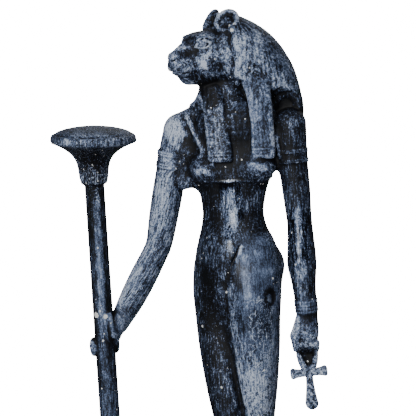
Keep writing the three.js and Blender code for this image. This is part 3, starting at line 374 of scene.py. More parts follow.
def foot(side, heel_x, forward):
    """A bare foot: heel, arch and ball, with five toes along the front and a nail on each."""
    middle = heel_x + side * 0.8
    heel = limb((heel_x, 4.6 - forward, 5), (middle, -11 - forward, 3.4), 5.6, 4.6)
    sole = slab((middle, -7 - forward, 0), (6.2, 15.6, 3.2), 3)
    toes, nails = [], []
    for i in range(TOES):
        x, tip = middle + side * (i * TOE_GAP - 4.4), 25.5 - i * TOE_STAGGER + forward
        toes.append(limb((x, 8 - tip, 2.6), (x, 1.6 - tip, 1.5), 2.0 - i * TOE_TAPER, 1.75 - i * TOE_TAPER))
        nails.append(egg((x, 1.0 - tip, 3.2 - i * TOE_TAPER), (0.8 - i * 0.05, 1.1, 0.35)))
    return cut(0.2, blend(1.2, blend(3, heel, sole), *toes), blend(0.1, *nails))


feet = blend(1, foot(1, 7.4, 0), foot(-1, -5.8, 6.4))

# Arms, with armlets and a bracelet.
# Her left arm hangs at her side. Her right one reaches down to the sceptre, and plaster fills its armpit.
# The rings are cast on them, as low relief.
STEPS_IN_SPAN = 4


def tube(stops):
    """A limb along a smooth curve through such points, in short straight steps."""
    row = smooth_row([(i, *stop) for i, stop in enumerate(stops)])
    fine = row(np.arange(0, (len(stops) - 1) * STEPS_IN_SPAN + 1) / STEPS_IN_SPAN).T
    return chain(0.1, [tuple(float(v) for v in stop) for stop in fine])


left_arm = tube([
    (26.6, 13.5, 234, 8.0),
    (27.4, 13.4, 217, 7.3),
    (28.8, 13.2, 202, 7.0),
    (29.8, 13.0, 190, 6.4),
    (30.5, 12.8, 182, 6.3),
    (31.2, 12.3, 166, 7.2),
    (31.6, 12.5, 153, 5.9),
    (32.4, 12.9, 141, 5.3),
    (33.0, 13.2, 133, 4.6)])
right_arm = blend(3, tube([
    (-24.7, -11.5, 231.4, 8.0),
    (-27.4, -13.7, 221, 7.2),
    (-29.1, -14.6, 211, 7.4),
    (-31.0, -15.4, 201, 7.7),
    (-33.6, -16.8, 188, 7.4),
    (-36.2, -18.2, 175, 6.7),
    (-37.8, -21.6, 168, 6.6),
    (-39.6, -27.8, 159, 6.9),
    (-42.2, -34.4, 148.5, 6.5),
    (-46.0, -41.4, 136.5, 5.0)]),
    limb((-20.5, -10.6, 222), (-21.5, -12.8, 206.8), 6.4, 3.4),
    limb((-21.5, -12.8, 206.8), (-12, -8, 207.4), 3.4, 4),
    limb((-25, -11.4, 234.6), (-12, -5, 243.2), 5.6, 4.0))

BAND_EDGE = 0.4


def band(a, b, radius, carving):
    """A raised ring round a limb, from a to b, carved by a function of the way along it and round it."""
    a, b = rows_of(a, b)
    length = float(np.linalg.norm(b - a))
    n = (b - a) / length
    side = np.cross(n[:, 0], (0, 1, 0)).reshape(3, 1).astype(np.float32)
    side /= np.linalg.norm(side)
    other = np.cross(n[:, 0], side[:, 0]).reshape(3, 1)

    def distance(p):
        along = (n * (p - a)).sum(0)
        off = p - a - n * along
        angle = np.arctan2((off * other).sum(0), (off * side).sum(0))
        out = np.sqrt((off * off).sum(0)) - radius - carving(along / length, angle)
        return rounded(np.stack([out, np.abs(along - length / 2) - length / 2]) + BAND_EDGE, BAND_EDGE)
    r = radius + 0.5
    return Form(np.minimum(a, b) - r, np.maximum(a, b) + r, distance)


WIRES, WIRE_HALF, WIRE_RELIEF = (0.08, 0.24, 0.78, 0.94), 0.05, 0.7
NICKS_ROUND, NICK_RELIEF = 30, 0.08


def armlet_lines(along, angle):
    """Two thin wires at each end of a plain flush band."""
    wires = sum(np.exp(-((along - at) / WIRE_HALF) ** 2) for at in WIRES)
    return WIRE_RELIEF * wires + NICK_RELIEF * ridges(angle * NICKS_ROUND / math.tau, 1) - 0.1


BEAD_RELIEF, BEAD_ROWS, BEADS_ROUND = 0.75, 4, 24


def beads(along, angle):
    """Rows of small round beads."""
    return BEAD_RELIEF * ridges(along * BEAD_ROWS, 0.8) * ridges(angle * BEADS_ROUND / math.tau, 0.8) - 0.25


jewellery = blend(0.2,
    band((27.3, 13.3, 222), (27.6, 13.2, 215.0), 7.25, armlet_lines),
    band((-27.5, -13.7, 222), (-28.7, -14.4, 213.6), 7.25, armlet_lines),
    band((32.0, 12.7, 146.2), (32.4, 12.9, 139.4), 5.45, beads))

# Hands.
# The left fist closes on the ankh's loop. The right one grips the stalk, with four fingers behind it and the
# thumb along it. Each is one cast body with what it holds.
LEFT_FIST, HAND_YAW = (31.6, 12.0, 127.0), 42.0


def curled(x):
    """A finger of the left fist, from the knuckle under and back."""
    return chain(0.6, [(x, -2.4, -3.2, 2.1), (x, -0.4, -6.2, 1.9), (x, 3.2, -5.4, 1.8), (x, 4.0, -1.0, 1.7)])


left_hand = placed(LEFT_FIST, HAND_YAW, blend(1.0,
    egg((0.8, -0.6, 3.4), (5.9, 4.6, 10.4)),
    chain(1, [(-1.6, -0.8, 9.5, 3.2), (-5.1, -1.6, 1.0, 2.8), (-5.0, -2.0, -5.4, 2.0)]),
    *(curled(-2.7 + i * 2.45) for i in range(4))))

SCEPTRE_X, SCEPTRE_Y, SCEPTRE_HEIGHT = -31.0, -26.2, 237.8
SCEPTRE_LEAN = (-0.9, -0.8)
STALK_RADIUS = 4.9


def stalk_at(z):
    """The middle of the stalk at a height."""
    share = z / SCEPTRE_HEIGHT
    return (SCEPTRE_X - FIGURE_X + SCEPTRE_LEAN[0] * share, SCEPTRE_Y - FIGURE_Y + SCEPTRE_LEAN[1] * share, z)


FINGER_STOPS, FINGERS_ROUND = 7, (70, 236)
GRIP_LOW, GRIP_GAP, GRIP_PALM = 122.8, 1.9, 132.6


def finger_round(z, radius):
    """A finger that lies round the stalk from one angle to another, a little sunk into it."""
    stops = []
    gx, gy, _ = stalk_at(z)
    reach = STALK_RADIUS + radius * 0.55
    start, end = FINGERS_ROUND
    for i in range(FINGER_STOPS):
        angle = math.radians(start + (end - start) * i / (FINGER_STOPS - 1))
        stops.append((gx + reach * math.cos(angle), gy + reach * math.sin(angle), z, radius))
    return chain(0.6, stops)


palm = stalk_at(GRIP_PALM)
right_hand = blend(1.2,
    limb((palm[0] + 5.2, palm[1] + 5.6, 139), (palm[0] + 1.8, palm[1] + 2.4, 126.5), 4.6, 3.4),
    *(finger_round(GRIP_LOW + i * GRIP_GAP, 2.1 - abs(i - 1.5) * 0.3) for i in range(4)),
    limb((palm[0] + 5.4, palm[1] + 0.8, 132), (palm[0] + 4.4, palm[1] - 0.6, 143.4), 1.9, 1.5))

# Head of a lioness.
# Broad muzzle, whisker pads and small round ears on a human neck, all of cast stone. Its parts are given in
# the head's own frame, facing -y, and the head is then turned to her right.
HEAD_YAW, HEAD_MIDDLE = -22.0, (-2.8, -2.4, 0.0)
neck = limb((1.4, 1.2, 236), (-1.6, -1.2, 262), 10, 9)
skull = blend(4,
    egg((0, -1, 270.5), (12.0, 15.0, 13.2)),
    mirrored(egg((4.4, -11.8, 277.3), (4.8, 5.6, 4.0))),
    limb((0, -9, 268.3), (0, -21.8, 265.9), 9.0, 5.5),
    mirrored(egg((7.0, -7.5, 266.6), (5.8, 8.2, 7.2))),
    mirrored(chain(2, [
        (9.6, -0.6, 259.4, 1.8), (10.8, -2.4, 264, 2.6), (11.3, -2.2, 270, 2.8), (9.8, -1.8, 279, 2.4)])))
cheek_hollow = egg((15.2, -10.5, 261.5), (3.6, 5.6, 6.4))
bridge = limb((0, -15.0, 276.5), (0, -25.2, 270.2), 4.0, 3.1)
nose = blend(1.2,
    slab((0, -25.9, 269.8), (3.1, 2.0, 2.3), 1.4),
    mirrored(ball((2.1, -26.1, 268.5), 1.5)))
pads = mirrored(egg((3.4, -22.6, 265.4), (4.0, 5.0, 3.9)))
jaw = blend(2.4,
    limb((0, -4, 262.2), (0, -17.2, 261.0), 8.0, 4.8),
    ball((0, -19.2, 260.7), 3.8))
mouth = chain(0.4, [
    (0, -28.4, 263.9, 0.6), (4.4, -25.4, 262.9, 0.6), (7.4, -19.0, 262.2, 0.7), (9.4, -13.8, 263.2, 0.6)])
lip_groove = blend(0.3,
    limb((0, -28.2, 264), (0, -28.1, 268.2), 0.45, 0.4),
    mirrored(limb((1.5, -28.4, 268.6), (2.9, -27.0, 269.0), 0.55, 0.5)))
whisker_rows = mirrored(blend(0.2, *(
    chain(0.2, [(4.6 + i * 0.7, -26.6 + i * 1.2, 266.9 - i * 1.1, 0.25),
                (7.0 + i * 0.55, -22.6 + i * 0.8, 267.6 - i * 1.2, 0.28)]) for i in range(3))))
eyeball = egg((8.0, -14.1, 276.0), (2.0, 2.4, 1.3))
socket = egg((9.3, -14.5, 275.9), (2.3, 3.7, 2.0))
lids = blend(0.3,
    chain(0.3, [(6.8, -17.2, 275.0, 0.6), (8.5, -15.9, 277.2, 0.8), (9.8, -13.3, 277.8, 0.8),
                (10.5, -10.6, 276.6, 0.6)]),
    chain(0.3, [(6.8, -17.2, 274.9, 0.5), (8.5, -15.2, 274.1, 0.5), (9.8, -12.6, 274.4, 0.5),
                (10.4, -10.4, 276.2, 0.45)]))
upper_fold = chain(0.3, [
    (7.2, -16.8, 277.8, 0.4), (8.9, -15.0, 279.4, 0.6), (9.9, -12.2, 279.8, 0.6), (10.6, -9.2, 278.6, 0.5)])


def leaned(tip, lean, form):
    """A form tipped back by one angle, then leaned to +x by the other, about the origin."""
    a, b = math.radians(tip), math.radians(lean)
    tipping = np.array([[1, 0, 0], [0, math.cos(a), -math.sin(a)], [0, math.sin(a), math.cos(a)]])
    leaning = np.array([[math.cos(b), 0, -math.sin(b)], [0, 1, 0], [math.sin(b), 0, math.cos(b)]])
    here = leaning @ tipping
    low, high = turned_box(form, here.T)
    here = here.astype(np.float32)
    return Form(low, high, lambda p: form(here @ p))


def ear(side, out, wide):
    """A round shell, hollowed in front, with tufts of hair inside it."""
    tufts = (limb((x, -0.9, -4.6), (x * 0.7, -0.3, 1.4 - abs(x) * 0.5), 0.55, 0.3)
             for x in (-2.2, -0.7, 0.9, 2.4))
    shell = cut(0.7, egg((0, 0, 0), (wide, 3.1, 6.9)), egg((0, -3.0, 0.3), (wide * 0.72, 3.5, 5.1)))
    return placed((side * out, -0.1, 286.1), side * 48, leaned(25, side * 36, blend(0.6, shell, *tufts)))


face = blend(2, blend(2.4, skull, bridge, jaw), nose, pads)
for groove, softness in (
        (mirrored(mouth), 0.7), (lip_groove, 0.4), (whisker_rows, 0.3), (mirrored(socket), 0.8),
        (mirrored(cheek_hollow), 2.5)):
    face = cut(softness, face, groove)
face = blend(0.4, face, mirrored(eyeball), mirrored(lids), mirrored(upper_fold))
head = placed(HEAD_MIDDLE, HEAD_YAW, face)
ears = placed(HEAD_MIDDLE, HEAD_YAW, blend(0.5, ear(1, 8.6, 6.1), ear(-1, 7.8, 4.5)))

# Wig, its two front locks and the broad collar.
# The hood swings from the head's turn at the crown to the chest's at its lower edge, in fine ribbed tresses.
# Hair, cords and beads were carved in the master, and the mould left them as soft low relief.
STRAND, HOOD_ROUND, HOOD_FOOT = 2.2, 22.0, 230.0
TRESS_RELIEF, CROWN = 0.5, (283, 289)


def strands(across, z, width):
    """Hair in uneven strands about a width wide, some thick and some thin, that waver down their length."""
    lane = across / width + 0.35 * np.sin(z * 0.19 + across * 0.31) + 0.16 * np.sin(z * 0.53 + across * 1.3)
    thick = 0.55 + 0.45 * np.sin(np.floor(lane) * 12.9898 + z * 0.05)
    return thick * ridges(lane, 0.8)


def tresses(z, angle):
    """Strands that run down from the crown, fine and shallow."""
    return TRESS_RELIEF * (strands(angle * HOOD_ROUND, z, STRAND) - 0.4) * (1 - fade(z, *CROWN))


hood = column([
    (HOOD_FOOT, 4.4, 7.4, 26, 25.0, 9.5, 10.6),
    (237, 4.8, 7.4, 26, 28.2, 12.4, 12.8),
    (244, 4.5, 6.9, 26, 29.0, 14.4, 14.4),
    (250, 4.2, 6.1, 28, 28.6, 15.3, 15.0),
    (256, 4.4, 5.6, 32, 27.2, 15.7, 15.6),
    (262, 4.4, 4.8, 37, 25.7, 15.9, 15.9),
    (268, 4.3, 3.6, 44, 23.6, 15.8, 15.8),
    (274, 3.4, 2.8, 52, 21.2, 15.0, 15.0),
    (280, 1.9, 1.5, 60, 17.9, 13.4, 13.4),
    (284.8, 0.1, 0.1, 66, 13.6, 11.3, 11.3),
    (288, -1.2, -1.1, 68, 9.2, 8.7, 8.7),
    (290.3, -1.5, -1.3, 68, 5.6, 5.6, 5.6)], 3.5, tresses)
face_room = placed(HEAD_MIDDLE, HEAD_YAW, slab((0, -31, 281), (30, 30.2, 24), 3))
shoulder_room = egg((29, -14, 243.5), (12.5, 15, 11.5))
END_STRAND, END_ROUND, END_HANG = 2.6, 26, 1.5


def ragged(p):
    """The hollow over the shoulder, with an uneven edge where the ends of the hair hang into it."""
    across = np.arctan2(p[1] + 6, p[0]) * END_ROUND
    return shoulder_room(p) + END_HANG * (strands(across, p[2], END_STRAND) - 0.35)


throat_room = placed(CHEST_MIDDLE, CHEST_YAW, blend(3,
    egg((-1, -20, 247), (19, 17, 14)),
    Form(shoulder_room.low - 1, shoulder_room.high + 1, ragged),
    egg((-27, 0, 258), (13, 26, 13.5))))
wig = cut(1.4, cut(1.4, hood, face_room), throat_room)
border = placed(HEAD_MIDDLE, HEAD_YAW, mirrored(chain(2, [
    (12.8, 2.0, 256, 1.3), (13.6, 1.6, 266, 1.3), (12.8, 1.4, 276, 1.2), (10.0, 1.6, 283, 1.2)])))

STRIP_REACH = 8


def strip(knots, rounding, carving):
    """A flat lock that hangs along a curve, from knots (z, middle x, middle y, yaw, half width, half
    thickness), with a relief given by z and the place across it."""
    row, low, high = smooth_row(knots), knots[0][0], knots[-1][0]

    def distance(p):
        across, rear, width, thick = section(p, row, low, high)
        arched = thick * (1.1 - 0.35 * (across / width) ** 2)
        deep = np.abs(rear) - arched - carving(p[2], across)
        end = np.maximum(low - p[2], p[2] - high)
        return rounded(np.stack([np.abs(across) - width, deep, end]) + rounding, rounding)
    return standing(knots, STRIP_REACH, distance)


LOCK_RELIEF, LOCK_STRAND, LOCK_LANE = 0.3, 1.9, 40
TIE_RELIEF, TIE_FOOT, TIE_GAP = 0.35, 1.2, 1.6


def lock_tresses(foot):
    """Faint strands down the lock, tied with three thin cords near its end."""
    def carving(z, across):
        hair = LOCK_RELIEF * strands(across + LOCK_LANE, z, LOCK_STRAND)
        ties = TIE_RELIEF * ridges((z - foot - TIE_FOOT) / TIE_GAP, 0.8)
        loose = fade(z, foot + 5.8, foot + 6.2) + 1 - fade(z, foot + 0.9, foot + 1.3)
        return hair * loose + ties * (1 - loose) - 0.15
    return carving


locks = placed(CHEST_MIDDLE, CHEST_YAW, blend(1,
    strip([
        (218.4, 16.4, -10.8, 6, 5.9, 2.4),
        (224, 16.6, -10.6, 6, 5.9, 2.5),
        (233, 16.4, -10.4, 6, 5.8, 2.6),
        (241, 16.2, -10.6, 6, 5.8, 2.8),
        (249, 15.6, -10.2, 8, 6.0, 3.2),
        (257, 13.4, -8.4, 12, 6.6, 3.4),
        (265, 11.6, -6.6, 16, 6.6, 3.2),
        (272, 10.4, -5.0, 20, 5.6, 2.8)], 1.6, lock_tresses(218.4)),
    strip([
        (217.4, -4.6, -13.4, -2, 6.2, 2.4),
        (224, -4.9, -13.2, -2, 6.2, 2.5),
        (233, -5.7, -12.2, -4, 6.1, 2.6),
        (241, -6.6, -11.4, -6, 5.8, 2.8),
        (249, -7.6, -9.6, -10, 5.2, 3.0),
        (256, -8.8, -7.4, -14, 4.6, 3.0)], 1.6, lock_tresses(217.4))))

COLLAR_ROW, COLLAR_BEADS, COLLAR_RELIEF, COLLAR_SUNK = 2.9, 26, 0.35, 0.1
collar_middle = (0, -2.5, 236)
collar_egg = egg(collar_middle, (17, 11.6, 12))


def collar_shell(p):
    """The collar's cushion, with rows of beads that follow the neck's round."""
    across, rear, up = p - rows_of(collar_middle)[0]
    rows = ridges(up / COLLAR_ROW, 0.7)
    bead = ridges(np.arctan2(rear, across) * COLLAR_BEADS / math.tau, 0.7)
    return collar_egg(p) - COLLAR_RELIEF * rows * bead + COLLAR_SUNK


collar = placed(CHEST_MIDDLE, CHEST_YAW, Form(collar_egg.low - 1, collar_egg.high + 1, collar_shell))

# Papyrus sceptre.
# A papyrus plant in cast stone: a plain round stalk under an open umbel with a low domed top. It is cast with
# her, so a fillet joins it to the hand.
CALYX_RADIUS, UMBEL_RADIUS, UMBEL_HEIGHT = 7.3, 21.5, 20.5
UMBEL_RIM, UMBEL_DOME, CALYX_STEP = 2.8, 5.2, 3.0
UMBEL_TILT, UMBEL_TILT_TOWARDS = 2.5, 40
STALK_FOOT, STALK_SWELL, NECK_RADIUS = -6.0, 1.04, 6.5
RIM_LIP, DOME_SHARE, DOME_POWER = 0.9, 0.985, 1.2
BELL_STOPS, DOME_STOPS = 16, 9
RIM_WEAR, RIM_WEAR_HALF = 0.16, 1.6
DOME_RING, DOME_RING_SHARE, DOME_RING_HALF = 0.3, 0.9, 0.7
# How far out the bell has come at each share of its height.
BELL_CURVE = ((0.17, 0.02), (0.33, 0.05), (0.5, 0.12), (0.67, 0.27), (0.83, 0.53), (0.93, 0.77), (1, 0.97))


def outline_distance(x, y, corners):
    """The distance to a closed outline in the plane, negative inside."""
    nearest = np.full_like(x, 1e9)
    inside = np.zeros(x.shape, bool)
    for (ax, ay), (bx, by) in zip(corners, corners[1:] + corners[:1]):
        ex, ey = bx - ax, by - ay
        t = np.clip(((x - ax) * ex + (y - ay) * ey) / (ex * ex + ey * ey), 0, 1)
        nearest = np.minimum(nearest, (x - ax - ex * t) ** 2 + (y - ay - ey * t) ** 2)
        if ay != by:
            crosses = ((ay <= y) != (by <= y)) & (x < ax + (y - ay) * ex / ey)
            inside ^= crosses
    return np.where(inside, -1, 1) * np.sqrt(nearest)


rim_low = SCEPTRE_HEIGHT - UMBEL_DOME - UMBEL_RIM
calyx_low = rim_low - UMBEL_HEIGHT
bell_low = calyx_low + CALYX_STEP
bell = smooth_row([(bell_low, CALYX_RADIUS)] + [
    (bell_low + (rim_low - bell_low) * up, CALYX_RADIUS + (UMBEL_RADIUS - CALYX_RADIUS) * out)
    for up, out in BELL_CURVE])
profile = [
    (0, STALK_FOOT), (STALK_RADIUS * STALK_SWELL, STALK_FOOT), (STALK_RADIUS * STALK_SWELL, calyx_low / 2),
    (STALK_RADIUS, calyx_low - 1), (NECK_RADIUS, calyx_low)]
profile += [(float(bell(np.array([z]))[0, 0]), float(z)) for z in np.linspace(bell_low, rim_low, BELL_STOPS)]
profile += [(UMBEL_RADIUS, rim_low + RIM_LIP)]
for i in range(DOME_STOPS):
    swing = math.pi / 2 * i / (DOME_STOPS - 1)
    profile.append((UMBEL_RADIUS * DOME_SHARE * math.cos(swing),
                    rim_low + UMBEL_RIM + UMBEL_DOME * math.sin(swing) ** DOME_POWER))
profile[-1] = (0, SCEPTRE_HEIGHT)


def sceptre_distance(p):
    """The profile turned about the leaning stalk, with the umbel tilted and its rim worn a little uneven."""
    middle_x, middle_y, _ = stalk_at(p[2])
    x, y = p[0] - middle_x, p[1] - middle_y
    up = np.maximum(p[2] - calyx_low, 0)
    tilt = math.radians(UMBEL_TILT) * np.minimum(up / (rim_low - calyx_low), 1)
    c, s = math.cos(math.radians(UMBEL_TILT_TOWARDS)), math.sin(math.radians(UMBEL_TILT_TOWARDS))
    out = x * c + y * s
    moved = out * (np.cos(tilt) - 1) - up * np.sin(tilt)
    z = p[2] + up * (np.cos(tilt) - 1) + out * np.sin(tilt)
    x, y = x + moved * c, y + moved * s
    r = np.hypot(x, y)
    angle = np.arctan2(y, x)
    wear = RIM_WEAR * np.sin(angle * 5 + 1) * np.sin(angle * 13)
    worn_rim = wear * np.exp(-((r - UMBEL_RADIUS) / RIM_WEAR_HALF) ** 2) * (z > rim_low - 3)
    ring_off = (r - UMBEL_RADIUS * DOME_RING_SHARE) / DOME_RING_HALF
    dome_ring = DOME_RING * np.exp(-ring_off ** 2) * (z > rim_low + UMBEL_RIM)
    return outline_distance(r, z, profile) + dome_ring + worn_rim


foot_x, foot_y, _ = stalk_at(0)
sceptre = Form(
    (foot_x - 24, foot_y - 24, STALK_FOOT), (foot_x + 25, foot_y + 25, SCEPTRE_HEIGHT + 1), sceptre_distance)

# Ankh.
# A flat cross whose bars widen to rounded ends, under a loop that the fist closes on. It is cast with her: the
# mould left a thin web across the loop and rounded all the edges.
ANKH_BAR, ANKH_NARROW, ANKH_WIDE, ANKH_CORNER, ANKH_SOLE = 9.4, 1.8, 2.6, 1.5, 3.3
ANKH_SHAFT, ANKH_LOOP, ANKH_LOOP_FOOT, ANKH_LOOP_SIDE, ANKH_LOOP_BAR = 19.2, 18.0, 3.5, 6.0, 2.8
ANKH_THICKNESS, ANKH_EDGE, ANKH_WEB, ANKH_WEB_INTO = 4.4, 1.0, 1.8, 0.8
ANKH_ROLL, ANKH_HANG, ANKH_ASIDE = -3.0, 18.6, 0.6


def bend(points, count=8):
    """Points along a curve with two or three control points, its first end left out."""
    points = [np.array(q, float) for q in points]
    out = []
    for i in range(1, count + 1):
        t, row = i / count, points
        while len(row) > 1:
            row = [a + (b - a) * t for a, b in zip(row, row[1:])]
        out.append((float(row[0][0]), float(row[0][1])))
    return out


def ankh_outlines():
    """The ankh's outline and its loop's hole, in its own plane, from the middle of the cross."""
    bar, narrow, wide, corner, sole = ANKH_BAR, ANKH_NARROW, ANKH_WIDE, ANKH_CORNER, ANKH_SOLE
    up, side, root, low = ANKH_LOOP, ANKH_LOOP_SIDE, ANKH_LOOP_FOOT, ANKH_SOLE - ANKH_SHAFT
    right = [(root, narrow)]
    right += bend([(root, narrow), (bar * 0.6, narrow * 0.9), (bar - corner, wide)])
    right += bend([(bar - corner, wide), (bar, wide), (bar, wide - corner)], 4) + [(bar, corner - wide)]
    right += bend([(bar, corner - wide), (bar, -wide), (bar - corner, -wide)], 4)
    right += bend([(bar - corner, -wide), (bar * 0.6, -narrow * 0.9), (narrow, -narrow)])
    right += bend([(narrow, -narrow), (narrow, low * 0.5), (sole, low)])
    right += [(sole * math.cos(math.pi * i / 20), low - sole * math.sin(math.pi * i / 20))
              for i in range(1, 11)]
    left = [(-x, z) for x, z in right[-2::-1]]
    loop = bend([(-root, narrow), (-side, up * 0.3), (-side * 1.25, up), (0, up)])
    loop += bend([(0, up), (side * 1.25, up), (side, up * 0.3), (root, narrow)])[:-1]
    inside, foot_of_hole = side - ANKH_LOOP_BAR, (0, narrow + ANKH_LOOP_BAR * 0.6)
    top = (0, up - ANKH_LOOP_BAR)
    hole = bend([foot_of_hole, (inside * 1.1, up * 0.4), (inside * 1.3, top[1]), top])
    hole += bend([top, (-inside * 1.3, top[1]), (-inside * 1.1, up * 0.4), foot_of_hole])
    return right + left + loop, hole


ankh_outer, ankh_hole = ankh_outlines()


def ankh_distance(p):
    """Flat in its own plane, with the middle of the cross at the origin, facing -y."""
    a = math.radians(ANKH_ROLL)
    x = p[0] * math.cos(a) - p[2] * math.sin(a)
    z = p[2] * math.cos(a) + p[0] * math.sin(a)
    hole = outline_distance(x, z, ankh_hole)
    flat = np.maximum(outline_distance(x, z, ankh_outer), -hole)
    cross = rounded(np.stack([flat, np.abs(p[1]) - ANKH_THICKNESS / 2]) + ANKH_EDGE, ANKH_EDGE)
    return np.minimum(cross, np.maximum(hole - ANKH_WEB_INTO, np.abs(p[1]) - ANKH_WEB / 2))


ankh = placed(
    (LEFT_FIST[0] + ANKH_ASIDE, LEFT_FIST[1] + ANKH_ASIDE, LEFT_FIST[2] - ANKH_HANG), HAND_YAW,
    Form((-11, -2.4, -21), (11, 2.4, 19), ankh_distance))

# Plinth.
# A low slab with rounded corners and softened edges. It is cast with her, and she and the sceptre stand in one
# body with it.
PLINTH_WIDTH, PLINTH_DEPTH, PLINTH_HEIGHT, PLINTH_CORNER, PLINTH_EDGE = 94.0, 82.0, 13.0, 7.0, 1.2


def plinth_distance(p):
    """A slab with round corners in plan and softened edges, from the figure's axis and soles."""
    qx = np.abs(p[0] + FIGURE_X) - PLINTH_WIDTH / 2 + PLINTH_CORNER
    qy = np.abs(p[1] + FIGURE_Y) - PLINTH_DEPTH / 2 + PLINTH_CORNER
    plan = np.hypot(np.maximum(qx, 0), np.maximum(qy, 0)) + np.minimum(np.maximum(qx, qy), 0) - PLINTH_CORNER
    tall = np.abs(p[2] + PLINTH_HEIGHT / 2) - PLINTH_HEIGHT / 2
    return rounded(np.stack([plan, tall]) + PLINTH_EDGE, PLINTH_EDGE)


plinth = Form((-PLINTH_WIDTH / 2 - FIGURE_X, -PLINTH_DEPTH / 2 - FIGURE_Y, -PLINTH_HEIGHT),
              (PLINTH_WIDTH / 2 - FIGURE_X, PLINTH_DEPTH / 2 - FIGURE_Y, 0), plinth_distance)

# The casting.
# Stone powder bound with resin, poured into a rubber mould in one go. It comes out as one body, in which the
# forms above run into each other with soft fillets.
figure = blend(1.0,
    blend(0.8,
        blend(5,
            cut(0.5,
                cut(2.0, blend(5, blend(6, trunk, buttocks, belly), legs), crease),
                blend(0.3, slit, dent)),
            breasts,
            blend(4, neck, left_arm, right_arm, collar)),
        straps),
    feet, jewellery, left_hand, right_hand,
    blend(1.2, blend(0.8, wig, border), blend(0.6, head, ears)),
    locks)
casting = blend(0.8, figure, sceptre, ankh, plinth)

# The side of a cell in mm, the cells along a block, how far off a block's middle a surface that passes through
# it may seem to be, in the block's sides, and the number of places that are worked out at a time.
CELL, BLOCK, SEARCH, AT_ONCE = 0.55, 8, 2.6, 400000


def surface_of(form, cell):
    """A closed mesh round a form: one point in each small cell that the surface passes through."""
    low = form.low[:, 0] - 2 * cell
    counts = np.ceil((form.high[:, 0] - low + 2 * cell) / (BLOCK * cell)).astype(int) * BLOCK + 1
    starts = (np.arange(0, n - 1, BLOCK) for n in counts)
    blocks = np.stack(np.meshgrid(*starts, indexing="ij")).reshape(3, -1)
    corners = np.array([[(n >> i) & 1 for i in range(3)] for n in range(8)]).T
    for size in (BLOCK, BLOCK // 2, BLOCK // 4):
        middle = (low[:, None] + (blocks + size / 2) * cell).astype(np.float32)
        blocks = blocks[:, np.abs(form(middle)) < size * cell * SEARCH]
        blocks = (blocks[:, :, None] + corners[:, None, :] * (size // 2)).reshape(3, -1)
    strides = np.array([counts[1] * counts[2], counts[2], 1])
    field = np.full(counts.prod(), REACH, np.float32)
    nodes = np.unique((strides @ blocks)[:, None] + (strides @ corners)[None, :])
    for part in np.array_split(nodes, max(len(nodes) // AT_ONCE, 1)):
        ijk = np.stack(np.unravel_index(part, counts))
        field[part] = form((low[:, None] + ijk * cell).astype(np.float32))
    cells = strides @ blocks
    values = field[cells[:, None] + (strides @ corners)[None, :]]
    mixed = (values < 0).any(1) & (values >= 0).any(1)
    cells, blocks, values = cells[mixed], blocks[:, mixed], values[mixed]
    total, hits = np.zeros((3, len(cells))), np.zeros(len(cells))
    for axis in range(3):
        for n in range(8):
            if (n >> axis) & 1:
                continue
            a, b = values[:, n], values[:, n | (1 << axis)]
            crossed = (a < 0) != (b < 0)
            t = np.where(crossed, a / np.where(crossed, a - b, 1), 0)
            for i in range(3):
                total[i] += crossed * (corners[i, n] + (t if i == axis else 0))
            hits += crossed
    points = (low[:, None] + (blocks + total / hits) * cell).astype(np.float32)
    which = np.full(counts.prod(), -1, np.int32)
    which[cells] = np.arange(len(cells))
    quads = []
    for axis in range(3):
        u, v = strides[(axis + 1) % 3], strides[(axis + 2) % 3]
        a, b = values[:, 0] < 0, values[:, 1 << axis] < 0
        at = cells[a != b]
        ring = np.stack([which[at], which[at - u], which[at - u - v], which[at - v]], 1)
        flip = b[a != b]
        ring[flip] = ring[flip][:, ::-1]
        quads.append(ring)
    return points, np.concatenate(quads)


SLOPE_STEP, LEAST_SLOPE, LONGEST_MOVE = 0.06, 0.3, 0.3


def settled(form, points):
    """Points moved on to the surface itself, along the way in which the form's distance grows fastest."""
    axes = np.eye(3, dtype=np.float32)[:, :, None]
    for _ in range(2):
        d = form(points)
        n = np.stack([form(points + SLOPE_STEP * axis) for axis in axes]) - d
        n /= SLOPE_STEP
        slope = np.maximum((n * n).sum(0), LEAST_SLOPE)
        points = points - (np.clip(d, -LONGEST_MOVE, LONGEST_MOVE) * n / slope).astype(np.float32)
    return points


points, quads = surface_of(casting, CELL)
points = settled(casting, points)
place = np.array([[FIGURE_X], [FIGURE_Y], [PLINTH_HEIGHT]])
fine = bpy.data.meshes.new("statue_casting")
fine.from_pydata(((points + place) * MM).T.tolist(), [], quads.tolist())
statue = put("statue_casting", fine)

MOST_FACES = 198000
thinning = statue.modifiers.new("thinning", "DECIMATE")
thinning.ratio = min(MOST_FACES / (2 * len(quads)), 1)
bpy.context.view_layer.objects.active = statue
with bpy.context.temp_override(object=statue, active_object=statue):
    bpy.ops.object.modifier_apply(modifier=thinning.name)
mesh = statue.data
mesh.shade_smooth()

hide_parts("statue")
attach(statue, "root")

# Paint.
# Satin black acrylic over the whole casting, then pale blue-grey dragged over it with a nearly dry brush. The
# eye sees raised and handled places pale and streaky, hollows black, and white specks where bubbles broke open.
# Highlights and shade are painted in on top of the brushing: pale highlights down her waist, hip, arms and the
# stalk, and painted shade under her jaw, over her left shoulder, in the armpit, at the fist and in other
# hollows.

# How pale the brush left each form, 0 for bare black and 1 for the palest grey, and the forms that are smooth
# enough to show long streaks. A form's share of a place falls off over SPREAD mm from its surface, and all
# places are in mm in the figure's frame.
PARTS = (
    (trunk, 0.08), (left_leg, 0.36), (right_leg, -0.12), (dress, 0.05), (left_arm, -0.1), (right_arm, 0.36),
    (left_hand, 0.5), (right_hand, 0.35), (neck, 0.05), (hood, 0.36), (locks, 0.48), (head, 0.34), (ears, 0.5),
    (collar, 0.1), (jewellery, 0.42), (sceptre, 0.16), (ankh, 0.36), (plinth, 0.35), (feet, 0.4),
    (breasts, -0.05), (buttocks, 0.3))
STREAKED = (trunk, left_leg, right_leg, dress, left_arm, right_arm, sceptre, buttocks)
SPREAD, LEAST_SHARE = 0.8, 1e-6

